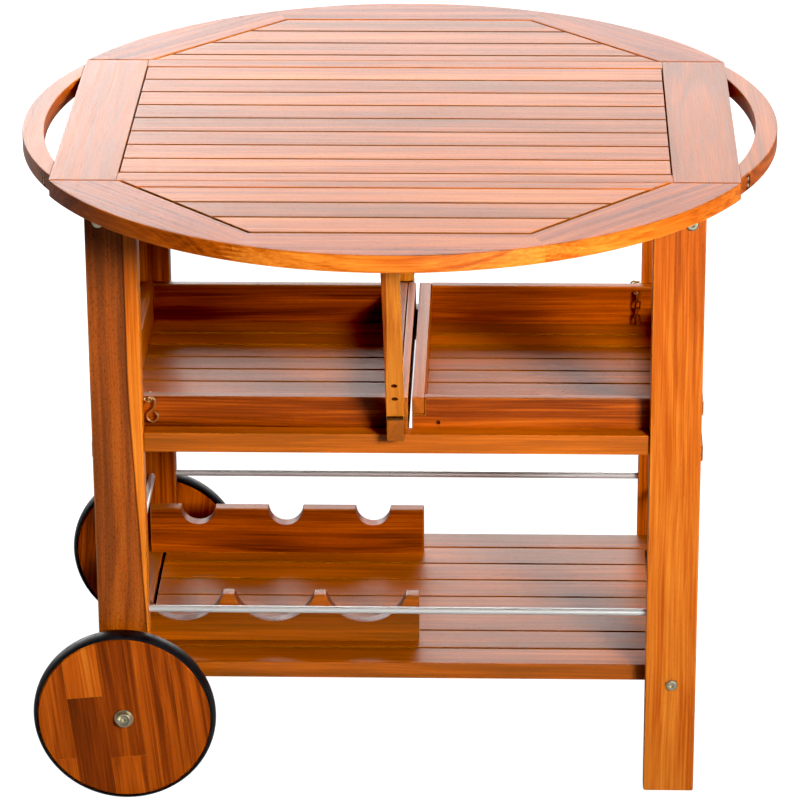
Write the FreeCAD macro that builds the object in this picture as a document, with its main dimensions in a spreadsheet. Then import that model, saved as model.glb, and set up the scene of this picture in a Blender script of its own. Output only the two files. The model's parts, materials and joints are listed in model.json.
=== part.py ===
import FreeCAD, Part
import math
import os
import types

import Sketcher

# A slatted bar cart: drop-leaf top, two tray drawers, bottle shelf, two wheels.
# X runs along the cart, Y from front to back, Z up; the origin is on the floor under the middle.
# Every size is in millimetres and is written once, in the table below.

SIZES = (
    ("table_height", 753.5, "floor to the top face"),
    ("top_thickness", 20, "all boards of the top"),
    ("panel_half_length", 380, "middle of the top to its end"),
    ("hinge_half_width", 214, "middle of the top to the hinge line"),
    ("end_board_width", 74.5, "end boards of the top"),
    ("side_rail_width", 25, "side rails of the top"),
    ("slat_gap", 3, "gap between slats"),
    ("slat_end_gap", 1.5, "gap at the end of a top slat"),
    ("top_slat_count", 8, "slats of the top"),
    ("batten_width", 25, "battens under slats"),
    ("batten_height", 12, "battens under slats"),
    ("top_batten_x", 100, "middle of a batten under the top"),
    ("leaf_reach", 232, "hinge line to the middle of the rim"),
    ("leaf_gap", 0.5, "hinge line to the leaf"),
    ("leaf_rail_end", 20, "hinge line to the far side of the hinge rail"),
    ("leaf_slat_width", 44, "slats of a leaf"),
    ("leaf_slat_count", 3, "slats of a leaf"),
    ("wedge_foot", 78, "wedge along the hinge line"),
    ("diagonal_end", 148, "inner edge of a wedge at the rim"),
    ("leaf_batten_x", 107, "middle of a batten under a leaf"),
    ("leaf_batten_start", 22, "hinge line to a leaf batten"),
    ("leaf_batten_end", 188, "hinge line to the far end of a leaf batten"),
    ("handle_stand", 50.5, "end of the top to the outside of a handle"),
    ("handle_opening", 25.5, "end of the top to the inside of a handle"),
    ("handle_inset", 14, "hinge line to the outer arc of a handle"),
    ("handle_foot", 50, "foot of a handle on the end of the top"),
    ("handle_screw_set_in", 20, "outer arc of a handle to its screws"),
    ("handle_screw_inset", 6, "handle screws from the faces of the top"),
    ("handle_screw_radius", 1.8, "shank of a handle screw"),
    ("handle_screw_head", 3.2, "head of a handle screw"),
    ("handle_screw_depth", 22, "handle screw in the end board"),
    ("leg_overhang", 36.5, "end of the top past the legs"),
    ("leg_width", 58, "leg along the cart"),
    ("leg_set_back", 6, "hinge line to the outer face of a leg"),
    ("leg_depth", 25, "leg across the cart"),
    ("short_leg_drop", 40, "axle to the end of a leg behind a wheel"),
    ("short_leg_radius", 33, "round end of such a leg"),
    ("top_rail_gap", 1, "hinge plates to a long top rail"),
    ("rail_thickness", 20, "rails of the frame"),
    ("top_rail_height", 55, "long top rails"),
    ("end_rail_inset", 5.5, "outer side of a leg to a top end rail"),
    ("end_rail_height", 60, "top end rails"),
    ("mid_rail_set_back", 5, "outer face of a leg to a mid rail"),
    ("mid_rail_drop", 4, "tray runners down to the under side of a mid rail"),
    ("mid_rail_height", 24, "mid rails"),
    ("mid_end_stand", 3.2, "mid end rails past the legs"),
    ("mid_end_width", 21.5, "mid end rails along the cart"),
    ("mid_end_height", 20, "mid end rails"),
    ("tray_seat", 427.5, "floor to the tray runners"),
    ("runner_height", 12, "tray runners"),
    ("runner_width", 20, "tray runners"),
    ("divider_left", 4, "left side of the divider"),
    ("divider_right", 13, "right side of the divider"),
    ("tray_height", 56, "runners to the tray rim and the divider"),
    ("left_tray_start", -3, "middle of the cart to the left tray, which passes it"),
    ("right_tray_start", 17.5, "middle of the cart to the right tray"),
    ("tray_length", 322, "tray without its lip"),
    ("tray_side_play", 1, "tray to the legs"),
    ("tray_side_thickness", 12, "side boards of a tray"),
    ("tray_end_thickness", 14, "end boards of a tray"),
    ("tray_lift", 0.3, "play under a tray"),
    ("tray_finger", 20, "upper finger of a tray corner"),
    ("tray_floor_height", 8, "runners to the upper side of the tray slats"),
    ("tray_slat_count", 9, "slats of a tray"),
    ("tray_slat_gap", 3.5, "gap between tray slats"),
    ("lip_reach", 7, "finger lip out of the end of a tray"),
    ("lip_drop", 5.5, "tray rim down to the lip"),
    ("lip_thickness", 17, "finger lip of a tray"),
    ("lip_inset", 6, "side of a tray to the lip"),
    ("tray_hole_inset", 29.5, "inner end of a tray to the hole"),
    ("tray_hole_drop", 30, "tray rim down to the hole"),
    ("tray_hole_radius", 2.5, "hole in a tray side board"),
    ("block_half", 10, "half the block and the strut along the cart"),
    ("block_stand", 21, "mid rail to the outer face of a strut block"),
    ("block_height", 27, "mid rail to the top of a strut block"),
    ("strut_seat", 3, "strut block to the foot of a strut"),
    ("strut_section", 20, "strut, square to its length"),
    ("strut_lean", 33.7, "strut from upright, degrees"),
    ("strut_play", 0.3, "strut to the leaf above it"),
    ("strut_hole_radius", 3.5, "holes in a strut"),
    ("strut_hole_depth", 8, "holes in a strut"),
    ("strut_hole_first", 36, "foot to the lower hole of a strut"),
    ("strut_hole_second", 62, "foot to the upper hole of a strut"),
    ("shelf_top", 150.5, "floor to the shelf"),
    ("shelf_side_play", 1, "shelf rails to the legs"),
    ("shelf_rail_width", 40, "long rails of the shelf"),
    ("shelf_thickness", 20, "rails of the shelf"),
    ("shelf_end_inset", 12.5, "inner side of a leg to a shelf end rail"),
    ("shelf_end_width", 36, "end rails of the shelf"),
    ("shelf_slat_end_gap", 4, "shelf slat to the end rail"),
    ("shelf_slat_count", 6, "slats of the shelf"),
    ("shelf_slat_thickness", 12, "slats of the shelf"),
    ("shelf_bearer_width", 12, "bearers under the shelf slats"),
    ("rack_overlap", 14, "bottle racks on the shelf end rail"),
    ("rack_right", 23, "right end of the bottle racks"),
    ("rack_height", 60, "bottle racks"),
    ("rack_thickness", 16, "bottle racks"),
    ("rack_front_y", -126, "front face of the front rack"),
    ("rack_rear_y", 118, "front face of the rear rack"),
    ("rack_first_x", -39, "middle of the first bottle place"),
    ("rack_pitch", 107, "one bottle to the next"),
    ("bottle_radius", 49, "scallops of the front rack"),
    ("bottle_depth", 34.5, "scallops of the front rack"),
    ("neck_radius", 21, "notches of the rear rack"),
    ("rod_radius", 4, "guard rods"),
    ("rod_rise", 74, "shelf to the guard rods"),
    ("rod_depth", 12, "guard rods in the legs"),
    ("bolt_radius", 3, "shank of a leg bolt"),
    ("bolt_head_radius", 7, "head of a leg bolt"),
    ("bolt_head_height", 3.4, "head of a leg bolt"),
    ("bolt_head_rim", 1.2, "straight rim of a bolt head"),
    ("bolt_socket_radius", 2.2, "socket of a leg bolt"),
    ("bolt_socket_depth", 2.2, "socket of a leg bolt"),
    ("bolt_grip", 35, "leg bolt beyond the leg"),
    ("bolt_top_drop", 31, "under side of the top to the top bolts"),
    ("bolt_low_drop", 12.5, "top of the shelf to the low bolts"),
    ("wheel_radius", 105.5, "wheel with its tyre"),
    ("wheel_stand", 10, "leg to the wheel"),
    ("wheel_width", 22, "wheel along its axle"),
    ("tyre_thickness", 5.5, "tyre on the wooden disc"),
    ("disc_edge", 1.5, "disc edge chamfer"),
    ("tyre_crown", 3, "fall of the tread to its edges"),
    ("axle_radius", 5, "axle bolt"),
    ("axle_play", 0.05, "play of the wheel on the axle bolt, radial"),
    ("axle_head_radius", 9, "head of the axle bolt"),
    ("axle_head_height", 6, "head of the axle bolt"),
    ("axle_socket_radius", 3.2, "socket of the axle bolt"),
    ("axle_socket_depth", 4, "socket of the axle bolt"),
    ("axle_overhang", 11, "axle bolt behind the leg"),
    ("spacer_radius", 13, "spacer between leg and wheel"),
    ("washer_radius", 11, "washer under the axle head"),
    ("washer_thickness", 1.5, "washer under the axle head"),
    ("side_play", 0.3, "wheel to spacer and to washer"),
    ("nut_width", 17, "axle nut across its flats"),
    ("nut_height", 8, "axle nut"),
    ("hinge_drop", 3, "under side of the top to the hinge axis"),
    ("hinge_knuckle", 2.6, "knuckle radius of a leaf hinge"),
    ("hinge_plate", 1.6, "plate of a leaf hinge"),
    ("hinge_plate_start", 3.2, "hinge axis to the plate"),
    ("hinge_plate_end", 18, "hinge axis to the far edge of the plate"),
    ("hinge_half_length", 30, "half a leaf hinge along its pin"),
    ("hinge_inset", 45.5, "inner side of a leg to the middle of the outer leaf hinges"),
    ("hinge_middle_half", 10, "half the middle knuckle"),
    ("knuckle_play", 0.3, "knuckle to knuckle"),
    ("hinge_pin", 1.4, "pin radius of a leaf hinge"),
    ("pin_play", 0.05, "play of a knuckle on its pin, radial"),
    ("small_axis_stand", 1.8, "strut block to the strut hinge axis"),
    ("small_knuckle", 1.6, "knuckle radius of a strut hinge"),
    ("small_plate_start", 2.2, "strut hinge axis to the plate"),
    ("small_plate_end", 18.3, "strut hinge axis to the far edge of the plate"),
    ("small_plate", 1.4, "plate of a strut hinge"),
    ("small_half_length", 9, "half a strut hinge along its pin"),
    ("small_middle_half", 3.5, "half the middle knuckle of a strut hinge"),
    ("small_pin", 0.8, "pin radius of a strut hinge"),
    ("wire_radius", 1.1, "wire of hooks, eyes and chain"),
    ("eye_radius", 4, "screw eye, middle of the wire"),
    ("eye_shank", 10, "screw eye in the wood"),
    ("eye_shank_radius", 0.9, "shank of a screw eye"),
    ("hook_eye_rise", 54, "runners to the eye of a hook"),
    ("hook_inset", 5, "inner face of a leg to a hook"),
    ("hook_play", 0.2, "hook to its eye"),
    ("hook_ring_radius", 6, "lower ring of a hook"),
    ("hook_drop", 20.5, "eye of a hook to its lower ring"),
    ("chain_inset", 5.5, "inner side of a leg to the chain"),
    ("chain_eye_drop", 6, "tray rim down to the eye of a chain"),
    ("link_length", 14, "link of the chain"),
    ("link_width", 8, "link of the chain"),
    ("link_play", 0.3, "link to link"),
    ("link_count", 4, "links of a chain"),
)

doc = FreeCAD.newDocument("bar_cart")
sheet = doc.addObject("Spreadsheet::Sheet", "Sizes")
nodes = []


class Size:
    """A number together with the formula on the sheet that gives it."""

    def __init__(self, number, text):
        self.number = number
        self.text = text

    @staticmethod
    def of(value):
        return value if isinstance(value, Size) else Size(value, repr(value))

    def joined(self, other, sign, number):
        return Size(number, "(%s %s %s)" % (self.text, sign, other.text))

    def __add__(self, other):
        other = Size.of(other)
        return self.joined(other, "+", self.number + other.number)

    def __sub__(self, other):
        other = Size.of(other)
        return self.joined(other, "-", self.number - other.number)

    def __mul__(self, other):
        other = Size.of(other)
        return self.joined(other, "*", self.number * other.number)

    def __truediv__(self, other):
        other = Size.of(other)
        return self.joined(other, "/", self.number / other.number)

    def __radd__(self, other):
        return Size.of(other) + self

    def __rsub__(self, other):
        return Size.of(other) - self

    def __rmul__(self, other):
        return Size.of(other) * self

    def __neg__(self):
        return Size(-self.number, "(0 - %s)" % self.text)


def root(value):
    return Size(math.sqrt(value.number), "sqrt(%s)" % value.text)


def sine(angle):
    return Size(math.sin(math.radians(angle.number)), "sin(%s)" % angle.text)


def cosine(angle):
    return Size(math.cos(math.radians(angle.number)), "cos(%s)" % angle.text)


def tangent(angle):
    return sine(angle) / cosine(angle)


def fill_sheet():
    """Write the table into the sheet and give each value back under its own name."""
    named = {}
    for row, (name, number, note) in enumerate(SIZES, 1):
        sheet.set("A%d" % row, name)
        sheet.set("B%d" % row, str(number))
        sheet.setAlias("B%d" % row, name)
        sheet.set("C%d" % row, note)
        named[name] = Size(number, "Sizes." + name)
    doc.recompute()
    return types.SimpleNamespace(**named)


def work_out(s):
    """Places that follow from the sheet: measured from the middle or from the floor."""
    s.under_top = s.table_height - s.top_thickness
    s.diagonal_start = s.panel_half_length - s.wedge_foot
    s.handle_reach = s.panel_half_length + s.handle_stand
    s.handle_inner_reach = s.panel_half_length + s.handle_opening
    s.handle_half_width = s.hinge_half_width - s.handle_inset
    s.handle_inner_half = s.handle_half_width - s.handle_foot
    s.handle_screw_y = s.handle_half_width - s.handle_screw_set_in
    s.handle_screw_low = s.under_top + s.handle_screw_inset
    s.handle_screw_high = s.table_height - s.handle_screw_inset
    s.leg_outer = s.panel_half_length - s.leg_overhang
    s.leg_inner = s.leg_outer - s.leg_width
    s.leg_middle = s.leg_inner + s.leg_width / 2
    s.leg_front = s.hinge_half_width - s.leg_set_back
    s.leg_back = s.leg_front - s.leg_depth
    s.short_leg_end = s.wheel_radius - s.short_leg_drop
    s.top_rail_front = s.hinge_half_width - s.hinge_plate_end - s.top_rail_gap
    s.end_rail_x = s.leg_outer - s.end_rail_inset - s.rail_thickness / 2
    s.mid_rail_front = s.leg_front - s.mid_rail_set_back
    s.mid_rail_low = s.tray_seat - s.mid_rail_drop
    s.mid_rail_top = s.mid_rail_low + s.mid_rail_height
    s.mid_end_outer = s.leg_outer + s.mid_end_stand
    s.mid_end_inner = s.mid_end_outer - s.mid_end_width
    s.mid_end_low = s.tray_seat - s.mid_end_height
    s.tray_top = s.tray_seat + s.tray_height
    s.tray_floor = s.tray_seat + s.tray_floor_height
    s.tray_half_width = s.leg_back - s.tray_side_play
    s.lip_high = s.tray_top - s.lip_drop
    s.lip_low = s.lip_high - s.lip_thickness
    s.lip_half_width = s.tray_half_width - s.lip_inset
    s.tray_hole_z = s.tray_top - s.tray_hole_drop
    s.block_front = s.mid_rail_front + s.block_stand
    s.block_top = s.mid_rail_top + s.block_height
    s.strut_foot = s.block_top + s.strut_seat
    s.small_axis_y = s.block_front + s.small_axis_stand
    s.small_axis_z = s.block_top + s.strut_seat / 2
    s.shelf_rail_outer = s.leg_back - s.shelf_side_play
    s.shelf_end_inner = s.leg_inner + s.shelf_end_inset
    s.shelf_slat_half = s.shelf_end_inner - s.shelf_slat_end_gap
    s.rack_left = -(s.shelf_end_inner + s.rack_overlap)
    s.rod_height = s.shelf_top + s.rod_rise
    s.rod_long_y = s.leg_front - s.leg_depth / 2
    s.rod_side_x = s.leg_middle
    s.bolt_top_z = s.under_top - s.bolt_top_drop
    s.bolt_low_x = s.shelf_end_inner + s.shelf_end_width / 2
    s.bolt_low_z = s.shelf_top - s.bolt_low_drop
    s.wheel_x = -s.leg_middle
    s.wheel_inner = s.leg_front + s.wheel_stand
    s.wheel_outer = s.wheel_inner + s.wheel_width
    s.disc_radius = s.wheel_radius - s.tyre_thickness
    s.hinge_x = s.leg_inner - s.hinge_inset
    s.hook_eye_z = s.tray_seat + s.hook_eye_rise
    s.hook_y = s.leg_back + s.hook_inset
    s.hook_ring_z = s.hook_eye_z - s.hook_drop
    s.chain_x = s.leg_inner - s.chain_inset
    s.chain_eye_z = s.tray_top - s.chain_eye_drop
    return s


s = work_out(fill_sheet())
X_AXIS = FreeCAD.Vector(1, 0, 0)
Y_AXIS = FreeCAD.Vector(0, 1, 0)
Z_AXIS = FreeCAD.Vector(0, 0, 1)
TURN = {
    "x": FreeCAD.Rotation(Y_AXIS, 90),
    "y": FreeCAD.Rotation(-X_AXIS, 90),
    "z": FreeCAD.Rotation(),
}
FRONT = -1
REAR = 1
LEFT = -1
RIGHT = 1


def bind(item, path, value):
    item.setExpression(path, Size.of(value).text)


def put(item, x, y, z, rotation=None):
    """Place an object; the three coordinates stay bound to the sheet."""
    item.Placement = FreeCAD.Placement(FreeCAD.Vector(), rotation or FreeCAD.Rotation())
    for axis, value in zip("xyz", (x, y, z)):
        bind(item, "Placement.Base." + axis, value)
    return item


def keep(label, item):
    """Register an object as one node of the part."""
    item.Label = label
    nodes.append(item)
    return item


def span(side, low, high):
    """The stretch from low to high on one side of the middle."""
    return (low, high) if side > 0 else (-high, -low)


def middle(half):
    return (-half, half)


def about(centre, half):
    return (centre - half, centre + half)


def box(name, x, y, z):
    solid = doc.addObject("Part::Box", name)
    for side, (low, high) in zip(("Length", "Width", "Height"), (x, y, z)):
        bind(solid, side, Size.of(high) - low)
    return put(solid, x[0], y[0], z[0])


def cylinder(name, axis, along, across, radius):
    """A round bar along one axis; across holds the other two coordinates in order."""
    solid = doc.addObject("Part::Cylinder", name)
    bind(solid, "Radius", radius)
    bind(solid, "Height", Size.of(along[1]) - along[0])
    places = list(across)
    places.insert("xyz".index(axis), along[0])
    return put(solid, *places, rotation=TURN[axis])


def fuse(name, parts):
    joined = doc.addObject("Part::MultiFuse", name)
    joined.Shapes = parts
    joined.Refine = True
    return joined


def cut(name, base, tools):
    result = doc.addObject("Part::Cut", name)
    result.Base = base
    result.Tool = tools[0] if len(tools) == 1 else fuse(name + "_tools", tools)
    return result


def group(label, members):
    """Several separate solids that make one node."""
    compound = doc.addObject("Part::Compound", label)
    compound.Links = members
    return keep(label, compound)


def new_body(name):
    return doc.addObject("PartDesign::Body", name)


def drawn(body, role, corners):
    """A closed outline on one plane of a body. A corner is (u, v), or (u, v, radius, way) where
    the edge that follows it is an arc; way is 1 when it bulges to the left of its run."""
    outline = body.newObject("Sketcher::SketchObject", body.Name + "_outline")
    plane = [item for item in body.Origin.OriginFeatures if item.Role == role][0]
    outline.AttachmentSupport = [(plane, "")]
    outline.MapMode = "FlatFace"
    points = [FreeCAD.Vector(Size.of(c[0]).number, Size.of(c[1]).number, 0) for c in corners]
    starts = []
    ends = []
    for index, corner in enumerate(corners):
        first = points[index]
        last = points[(index + 1) % len(points)]
        # an arc always runs anticlockwise, so one that bulges to the left is drawn backwards
        backward = len(corner) > 2 and corner[3] > 0
        edge = Part.LineSegment(first, last)
        if len(corner) > 2:
            chord = last - first
            radius = Size.of(corner[2]).number
            rise = radius - math.sqrt(radius ** 2 - chord.Length ** 2 / 4)
            left = FreeCAD.Vector(-chord.y, chord.x, 0).normalize()
            crown = (first + last) / 2 + left * rise * corner[3]
            edge = Part.Arc(last, crown, first) if backward else Part.Arc(first, crown, last)
        outline.addGeometry(edge)
        starts.append(2 if backward else 1)
        ends.append(1 if backward else 2)
    for index, corner in enumerate(corners):
        following = (index + 1) % len(corners)
        outline.addConstraint(
            Sketcher.Constraint("Coincident", index, ends[index], following, starts[following]))
        for kind, value in (("DistanceX", corner[0]), ("DistanceY", corner[1])):
            number = Size.of(value).number
            which = outline.addConstraint(
                Sketcher.Constraint(kind, -1, 1, index, starts[index], number))
            bind(outline, "Constraints[%d]" % which, value)
        if len(corner) > 2:
            which = outline.addConstraint(
                Sketcher.Constraint("Radius", index, Size.of(corner[2]).number))
            bind(outline, "Constraints[%d]" % which, corner[2])
    return outline


def padded(name, role, corners, thickness, midplane=False):
    body = new_body(name)
    pad = body.newObject("PartDesign::Pad", name + "_pad")
    pad.Profile = drawn(body, role, corners)
    bind(pad, "Length", thickness)
    pad.Midplane = midplane
    body.Tip = pad
    return body


def revolved(name, corners):
    """A turned piece: the outline is drawn on the XZ plane and turned about Z."""
    body = new_body(name)
    outline = drawn(body, "XZ_Plane", corners)
    turn = body.newObject("PartDesign::Revolution", name + "_turned")
    turn.Profile = outline
    turn.ReferenceAxis = (outline, ["V_Axis"])
    turn.Angle = 360
    body.Tip = turn
    return body


def arc_radius(half_chord, rise):
    return (half_chord * half_chord + rise * rise) / (2 * rise)


def slats(name, count, edge, width, gap, x, z):
    """A row of equal slats along X; edge is the low side of the first one."""
    rows = []
    for index in range(count):
        low = edge + index * (width + gap)
        rows.append(box("%s_%d" % (name, index + 1), x, (low, low + width), z))
    return rows


top_z = (s.under_top, s.table_height)
panel_inner = s.panel_half_length - s.end_board_width
side_rail_inner = s.hinge_half_width - s.side_rail_width


def build_top():
    group("top_end_boards", [
        cut("top_end_board_%d" % side,
            box("top_end_%d" % side, span(side, panel_inner, s.panel_half_length),
                middle(s.hinge_half_width), top_z),
            handle_screw_shanks("top_end_hole_%d" % side, side))
        for side in (LEFT, RIGHT)])
    group("top_side_rails", [
        box("top_side_rail_%d" % side, middle(panel_inner),
            span(side, side_rail_inner, s.hinge_half_width), top_z)
        for side in (FRONT, REAR)])
    count = s.top_slat_count
    width = (2 * side_rail_inner - (count + 1) * s.slat_gap) / count
    group("top_slats", slats("top_slat", int(count.number), s.slat_gap - side_rail_inner, width,
                             s.slat_gap, middle(panel_inner - s.slat_end_gap), top_z))
    rail_back = s.top_rail_front - s.rail_thickness
    group("top_battens", [
        box("top_batten_%d" % side, about(side * s.top_batten_x, s.batten_width / 2),
            middle(rail_back), (s.under_top - s.batten_height, s.under_top))
        for side in (LEFT, RIGHT)])
    group("top_long_rails", [
        box("top_long_rail_%d" % side, middle(s.leg_inner),
            span(side, rail_back, s.top_rail_front), (s.under_top - s.top_rail_height, s.under_top))
        for side in (FRONT, REAR)])
    group("top_end_rails", [
        cut("top_end_rail_%d" % side,
            box("top_end_rail_bar_%d" % side,
                about(side * s.end_rail_x, s.rail_thickness / 2),
                middle(s.leg_back), (s.under_top - s.end_rail_height, s.under_top)),
            [bolt_hole("top_rail_hole_%d_%d" % (side, face), face, side * s.end_rail_x,
                       s.bolt_top_z) for face in (FRONT, REAR)])
        for side in (LEFT, RIGHT)])


def handle_screw_shanks(name, side):
    """The four holes of the handle screws at one end of the top."""
    return [
        cylinder("%s_%d_%d" % (name, face, row), "x",
                 span(side, s.panel_half_length - s.handle_screw_depth, s.handle_reach),
                 (face * s.handle_screw_y, height), s.handle_screw_radius)
        for face in (FRONT, REAR)
        for row, height in enumerate((s.handle_screw_low, s.handle_screw_high))]


def build_handles():
    outer = arc_radius(s.handle_half_width, s.handle_reach - s.panel_half_length)
    inner = arc_radius(s.handle_inner_half, s.handle_inner_reach - s.panel_half_length)
    outer_centre = s.handle_reach - outer
    face = outer_centre + root(outer * outer - s.handle_screw_y * s.handle_screw_y)
    seat = face - s.handle_screw_radius
    screws = []
    for side, label in ((LEFT, "handle_left"), (RIGHT, "handle_right")):
        end = side * s.panel_half_length
        shape = padded(label + "_crescent", "XY_Plane", [
            (end, -s.handle_inner_half),
            (end, -s.handle_half_width, outer, -side),
            (end, s.handle_half_width),
            (end, s.handle_inner_half, inner, side),
        ], s.top_thickness)
        put(shape, 0, 0, s.under_top)
        tools = handle_screw_shanks(label + "_hole", side)
        for wing in (FRONT, REAR):
            for row, height in enumerate((s.handle_screw_low, s.handle_screw_high)):
                spot = (wing * s.handle_screw_y, height)
                name = "%s_screw_%d_%d" % (label, wing, row)
                tools.append(cylinder(name + "_sink", "x", span(side, seat, s.handle_reach), spot,
                                      s.handle_screw_head))
                screws.append(fuse(name, [
                    cylinder(name + "_shank", "x",
                             span(side, s.panel_half_length - s.handle_screw_depth, seat), spot,
                             s.handle_screw_radius),
                    cylinder(name + "_head", "x", span(side, seat, face), spot,
                             s.handle_screw_head)]))
        keep(label, cut(label, shape, tools))
    group("handle_screws", screws)


def bolt_hole(name, face, x, z):
    """The hole of a leg bolt: through the leg and into the rail behind it."""
    return cylinder(name, "y", span(face, s.leg_back - s.bolt_grip, s.leg_front), (x, z),
                    s.bolt_radius)


def build_legs():
    for face, depth_name in ((FRONT, "front"), (REAR, "rear")):
        for side, side_name in ((LEFT, "left"), (RIGHT, "right")):
            label = "leg_%s_%s" % (depth_name, side_name)
            y = span(face, s.leg_back, s.leg_front)
            if side == RIGHT:
                post = box(label + "_post", (s.leg_inner, s.leg_outer), y, (0, s.under_top))
            else:
                half = s.leg_width / 2
                radius = s.short_leg_radius
                shoulder = s.short_leg_end + radius - root(radius * radius - half * half)
                post = padded(label + "_post", "XZ_Plane", [
                    (-s.leg_outer, shoulder, radius, -1), (-s.leg_inner, shoulder),
                    (-s.leg_inner, s.under_top), (-s.leg_outer, s.under_top)], s.leg_depth)
                put(post, 0, y[1], 0)
            holes = [
                bolt_hole(label + "_top_hole", face, side * s.end_rail_x, s.bolt_top_z),
                bolt_hole(label + "_low_hole", face, side * s.bolt_low_x, s.bolt_low_z),
                cylinder(label + "_rod_hole", "x",
                         span(side, s.leg_inner, s.leg_inner + s.rod_depth),
                         (face * s.rod_long_y, s.rod_height), s.rod_radius),
                cylinder(label + "_side_rod_hole", "y", span(face, s.leg_back, s.leg_back + s.rod_depth),
                         (side * s.rod_side_x, s.rod_height), s.rod_radius)]
            if side == LEFT:
                holes.append(cylinder(label + "_axle_hole", "y", y, (s.wheel_x, s.wheel_radius),
                                      s.axle_radius))
            if side == face:
                holes.append(cylinder(label + "_eye_hole", "x",
                                      span(side, s.leg_inner, s.leg_inner + s.eye_shank),
                                      (face * s.hook_y, s.hook_eye_z), s.eye_shank_radius))
            keep(label, cut(label, post, holes))


def build_mid_frame():
    rail_z = (s.mid_rail_low, s.mid_rail_top)
    group("mid_rails", [
        box("mid_rail_%d" % side, middle(s.leg_inner), span(side, s.leg_back, s.mid_rail_front),
            rail_z) for side in (FRONT, REAR)])
    group("mid_end_rails", [
        box("mid_end_rail_%d" % side, span(side, s.mid_end_inner, s.mid_end_outer),
            middle(s.leg_back), (s.mid_end_low, s.tray_seat)) for side in (LEFT, RIGHT)])
    group("tray_runners", [
        box("tray_runner_%d" % side, middle(s.mid_end_inner),
            span(side, s.leg_back - s.runner_width, s.leg_back),
            (s.tray_seat - s.runner_height, s.tray_seat)) for side in (FRONT, REAR)])
    keep("centre_divider", box("centre_divider", (s.divider_left, s.divider_right),
                               middle(s.leg_back), (s.tray_seat, s.tray_top)))
    group("strut_blocks", [
        box("strut_block_%d" % side, middle(s.block_half),
            span(side, s.leg_back, s.block_front), (rail_z[1], s.block_top))
        for side in (FRONT, REAR)])


def build_shelf():
    z = (s.shelf_top - s.shelf_thickness, s.shelf_top)
    rail_inner = s.shelf_rail_outer - s.shelf_rail_width
    group("shelf_rails", [
        box("shelf_rail_%d" % side, middle(s.shelf_end_inner),
            span(side, rail_inner, s.shelf_rail_outer), z) for side in (FRONT, REAR)])
    group("shelf_end_rails", [
        cut("shelf_end_rail_%d" % side,
            box("shelf_end_bar_%d" % side,
                span(side, s.shelf_end_inner, s.shelf_end_inner + s.shelf_end_width),
                middle(s.leg_back), z),
            [bolt_hole("shelf_hole_%d_%d" % (side, face), face, side * s.bolt_low_x, s.bolt_low_z)
             for face in (FRONT, REAR)])
        for side in (LEFT, RIGHT)])
    count = s.shelf_slat_count
    width = (2 * rail_inner - (count + 1) * s.slat_gap) / count
    slat_low = s.shelf_top - s.shelf_slat_thickness
    group("shelf_slats", slats("shelf_slat", int(count.number), s.slat_gap - rail_inner, width,
                               s.slat_gap, middle(s.shelf_slat_half), (slat_low, s.shelf_top)))
    group("shelf_bearers", [
        box("shelf_bearer_%d" % side,
            span(side, s.shelf_end_inner - s.shelf_bearer_width, s.shelf_end_inner),
            middle(rail_inner), (z[0], slat_low)) for side in (LEFT, RIGHT)])
    rack_top = s.shelf_top + s.rack_height
    scallop_z = rack_top - s.bottle_depth + s.bottle_radius
    for label, front, radius, height in (
            ("bottle_rack_front", s.rack_front_y, s.bottle_radius, scallop_z),
            ("bottle_rack_rear", s.rack_rear_y, s.neck_radius, rack_top)):
        y = (front, front + s.rack_thickness)
        board = box(label + "_board", (s.rack_left, s.rack_right), y, (s.shelf_top, rack_top))
        places = [
            cylinder("%s_place_%d" % (label, index + 1), "y", y,
                     (s.rack_first_x - index * s.rack_pitch, height), radius)
            for index in range(3)]
        keep(label, cut(label, board, places))
    group("guard_rods_long", [
        cylinder("guard_rod_long_%d" % face, "x", middle(s.leg_inner + s.rod_depth),
                 (face * s.rod_long_y, s.rod_height), s.rod_radius) for face in (FRONT, REAR)])
    group("guard_rods_side", [
        cylinder("guard_rod_side_%d" % side, "y", middle(s.leg_back + s.rod_depth),
                 (side * s.rod_side_x, s.rod_height), s.rod_radius) for side in (LEFT, RIGHT)])


def bolt(name, shank, length, head, height, rim, socket, depth):
    """A domed bolt along +Z with its head seat at zero."""
    dome = arc_radius(head, height - rim)
    crown = rim - dome + (height - rim) + root(dome * dome - socket * socket)
    return revolved(name, [
        (0, -length), (shank, -length), (shank, 0), (head, 0), (head, rim, dome, -1),
        (socket, crown), (socket, height - depth), (0, height - depth)])


def outward(item, face, x, y, z):
    """Place a piece made along +Z so that it looks out of the front or the rear."""
    return put(item, x, face * y, z, FreeCAD.Rotation(-face * X_AXIS, 90))


def build_bolts():
    bolts = []
    for face in (FRONT, REAR):
        for side in (LEFT, RIGHT):
            for row, (x, z) in enumerate(((s.end_rail_x, s.bolt_top_z),
                                          (s.bolt_low_x, s.bolt_low_z))):
                piece = bolt("leg_bolt_%d_%d_%d" % (face, side, row), s.bolt_radius,
                             s.leg_depth + s.bolt_grip, s.bolt_head_radius, s.bolt_head_height,
                             s.bolt_head_rim, s.bolt_socket_radius, s.bolt_socket_depth)
                bolts.append(outward(piece, face, side * x, s.leg_front, z))
    group("leg_bolts", bolts)


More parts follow.
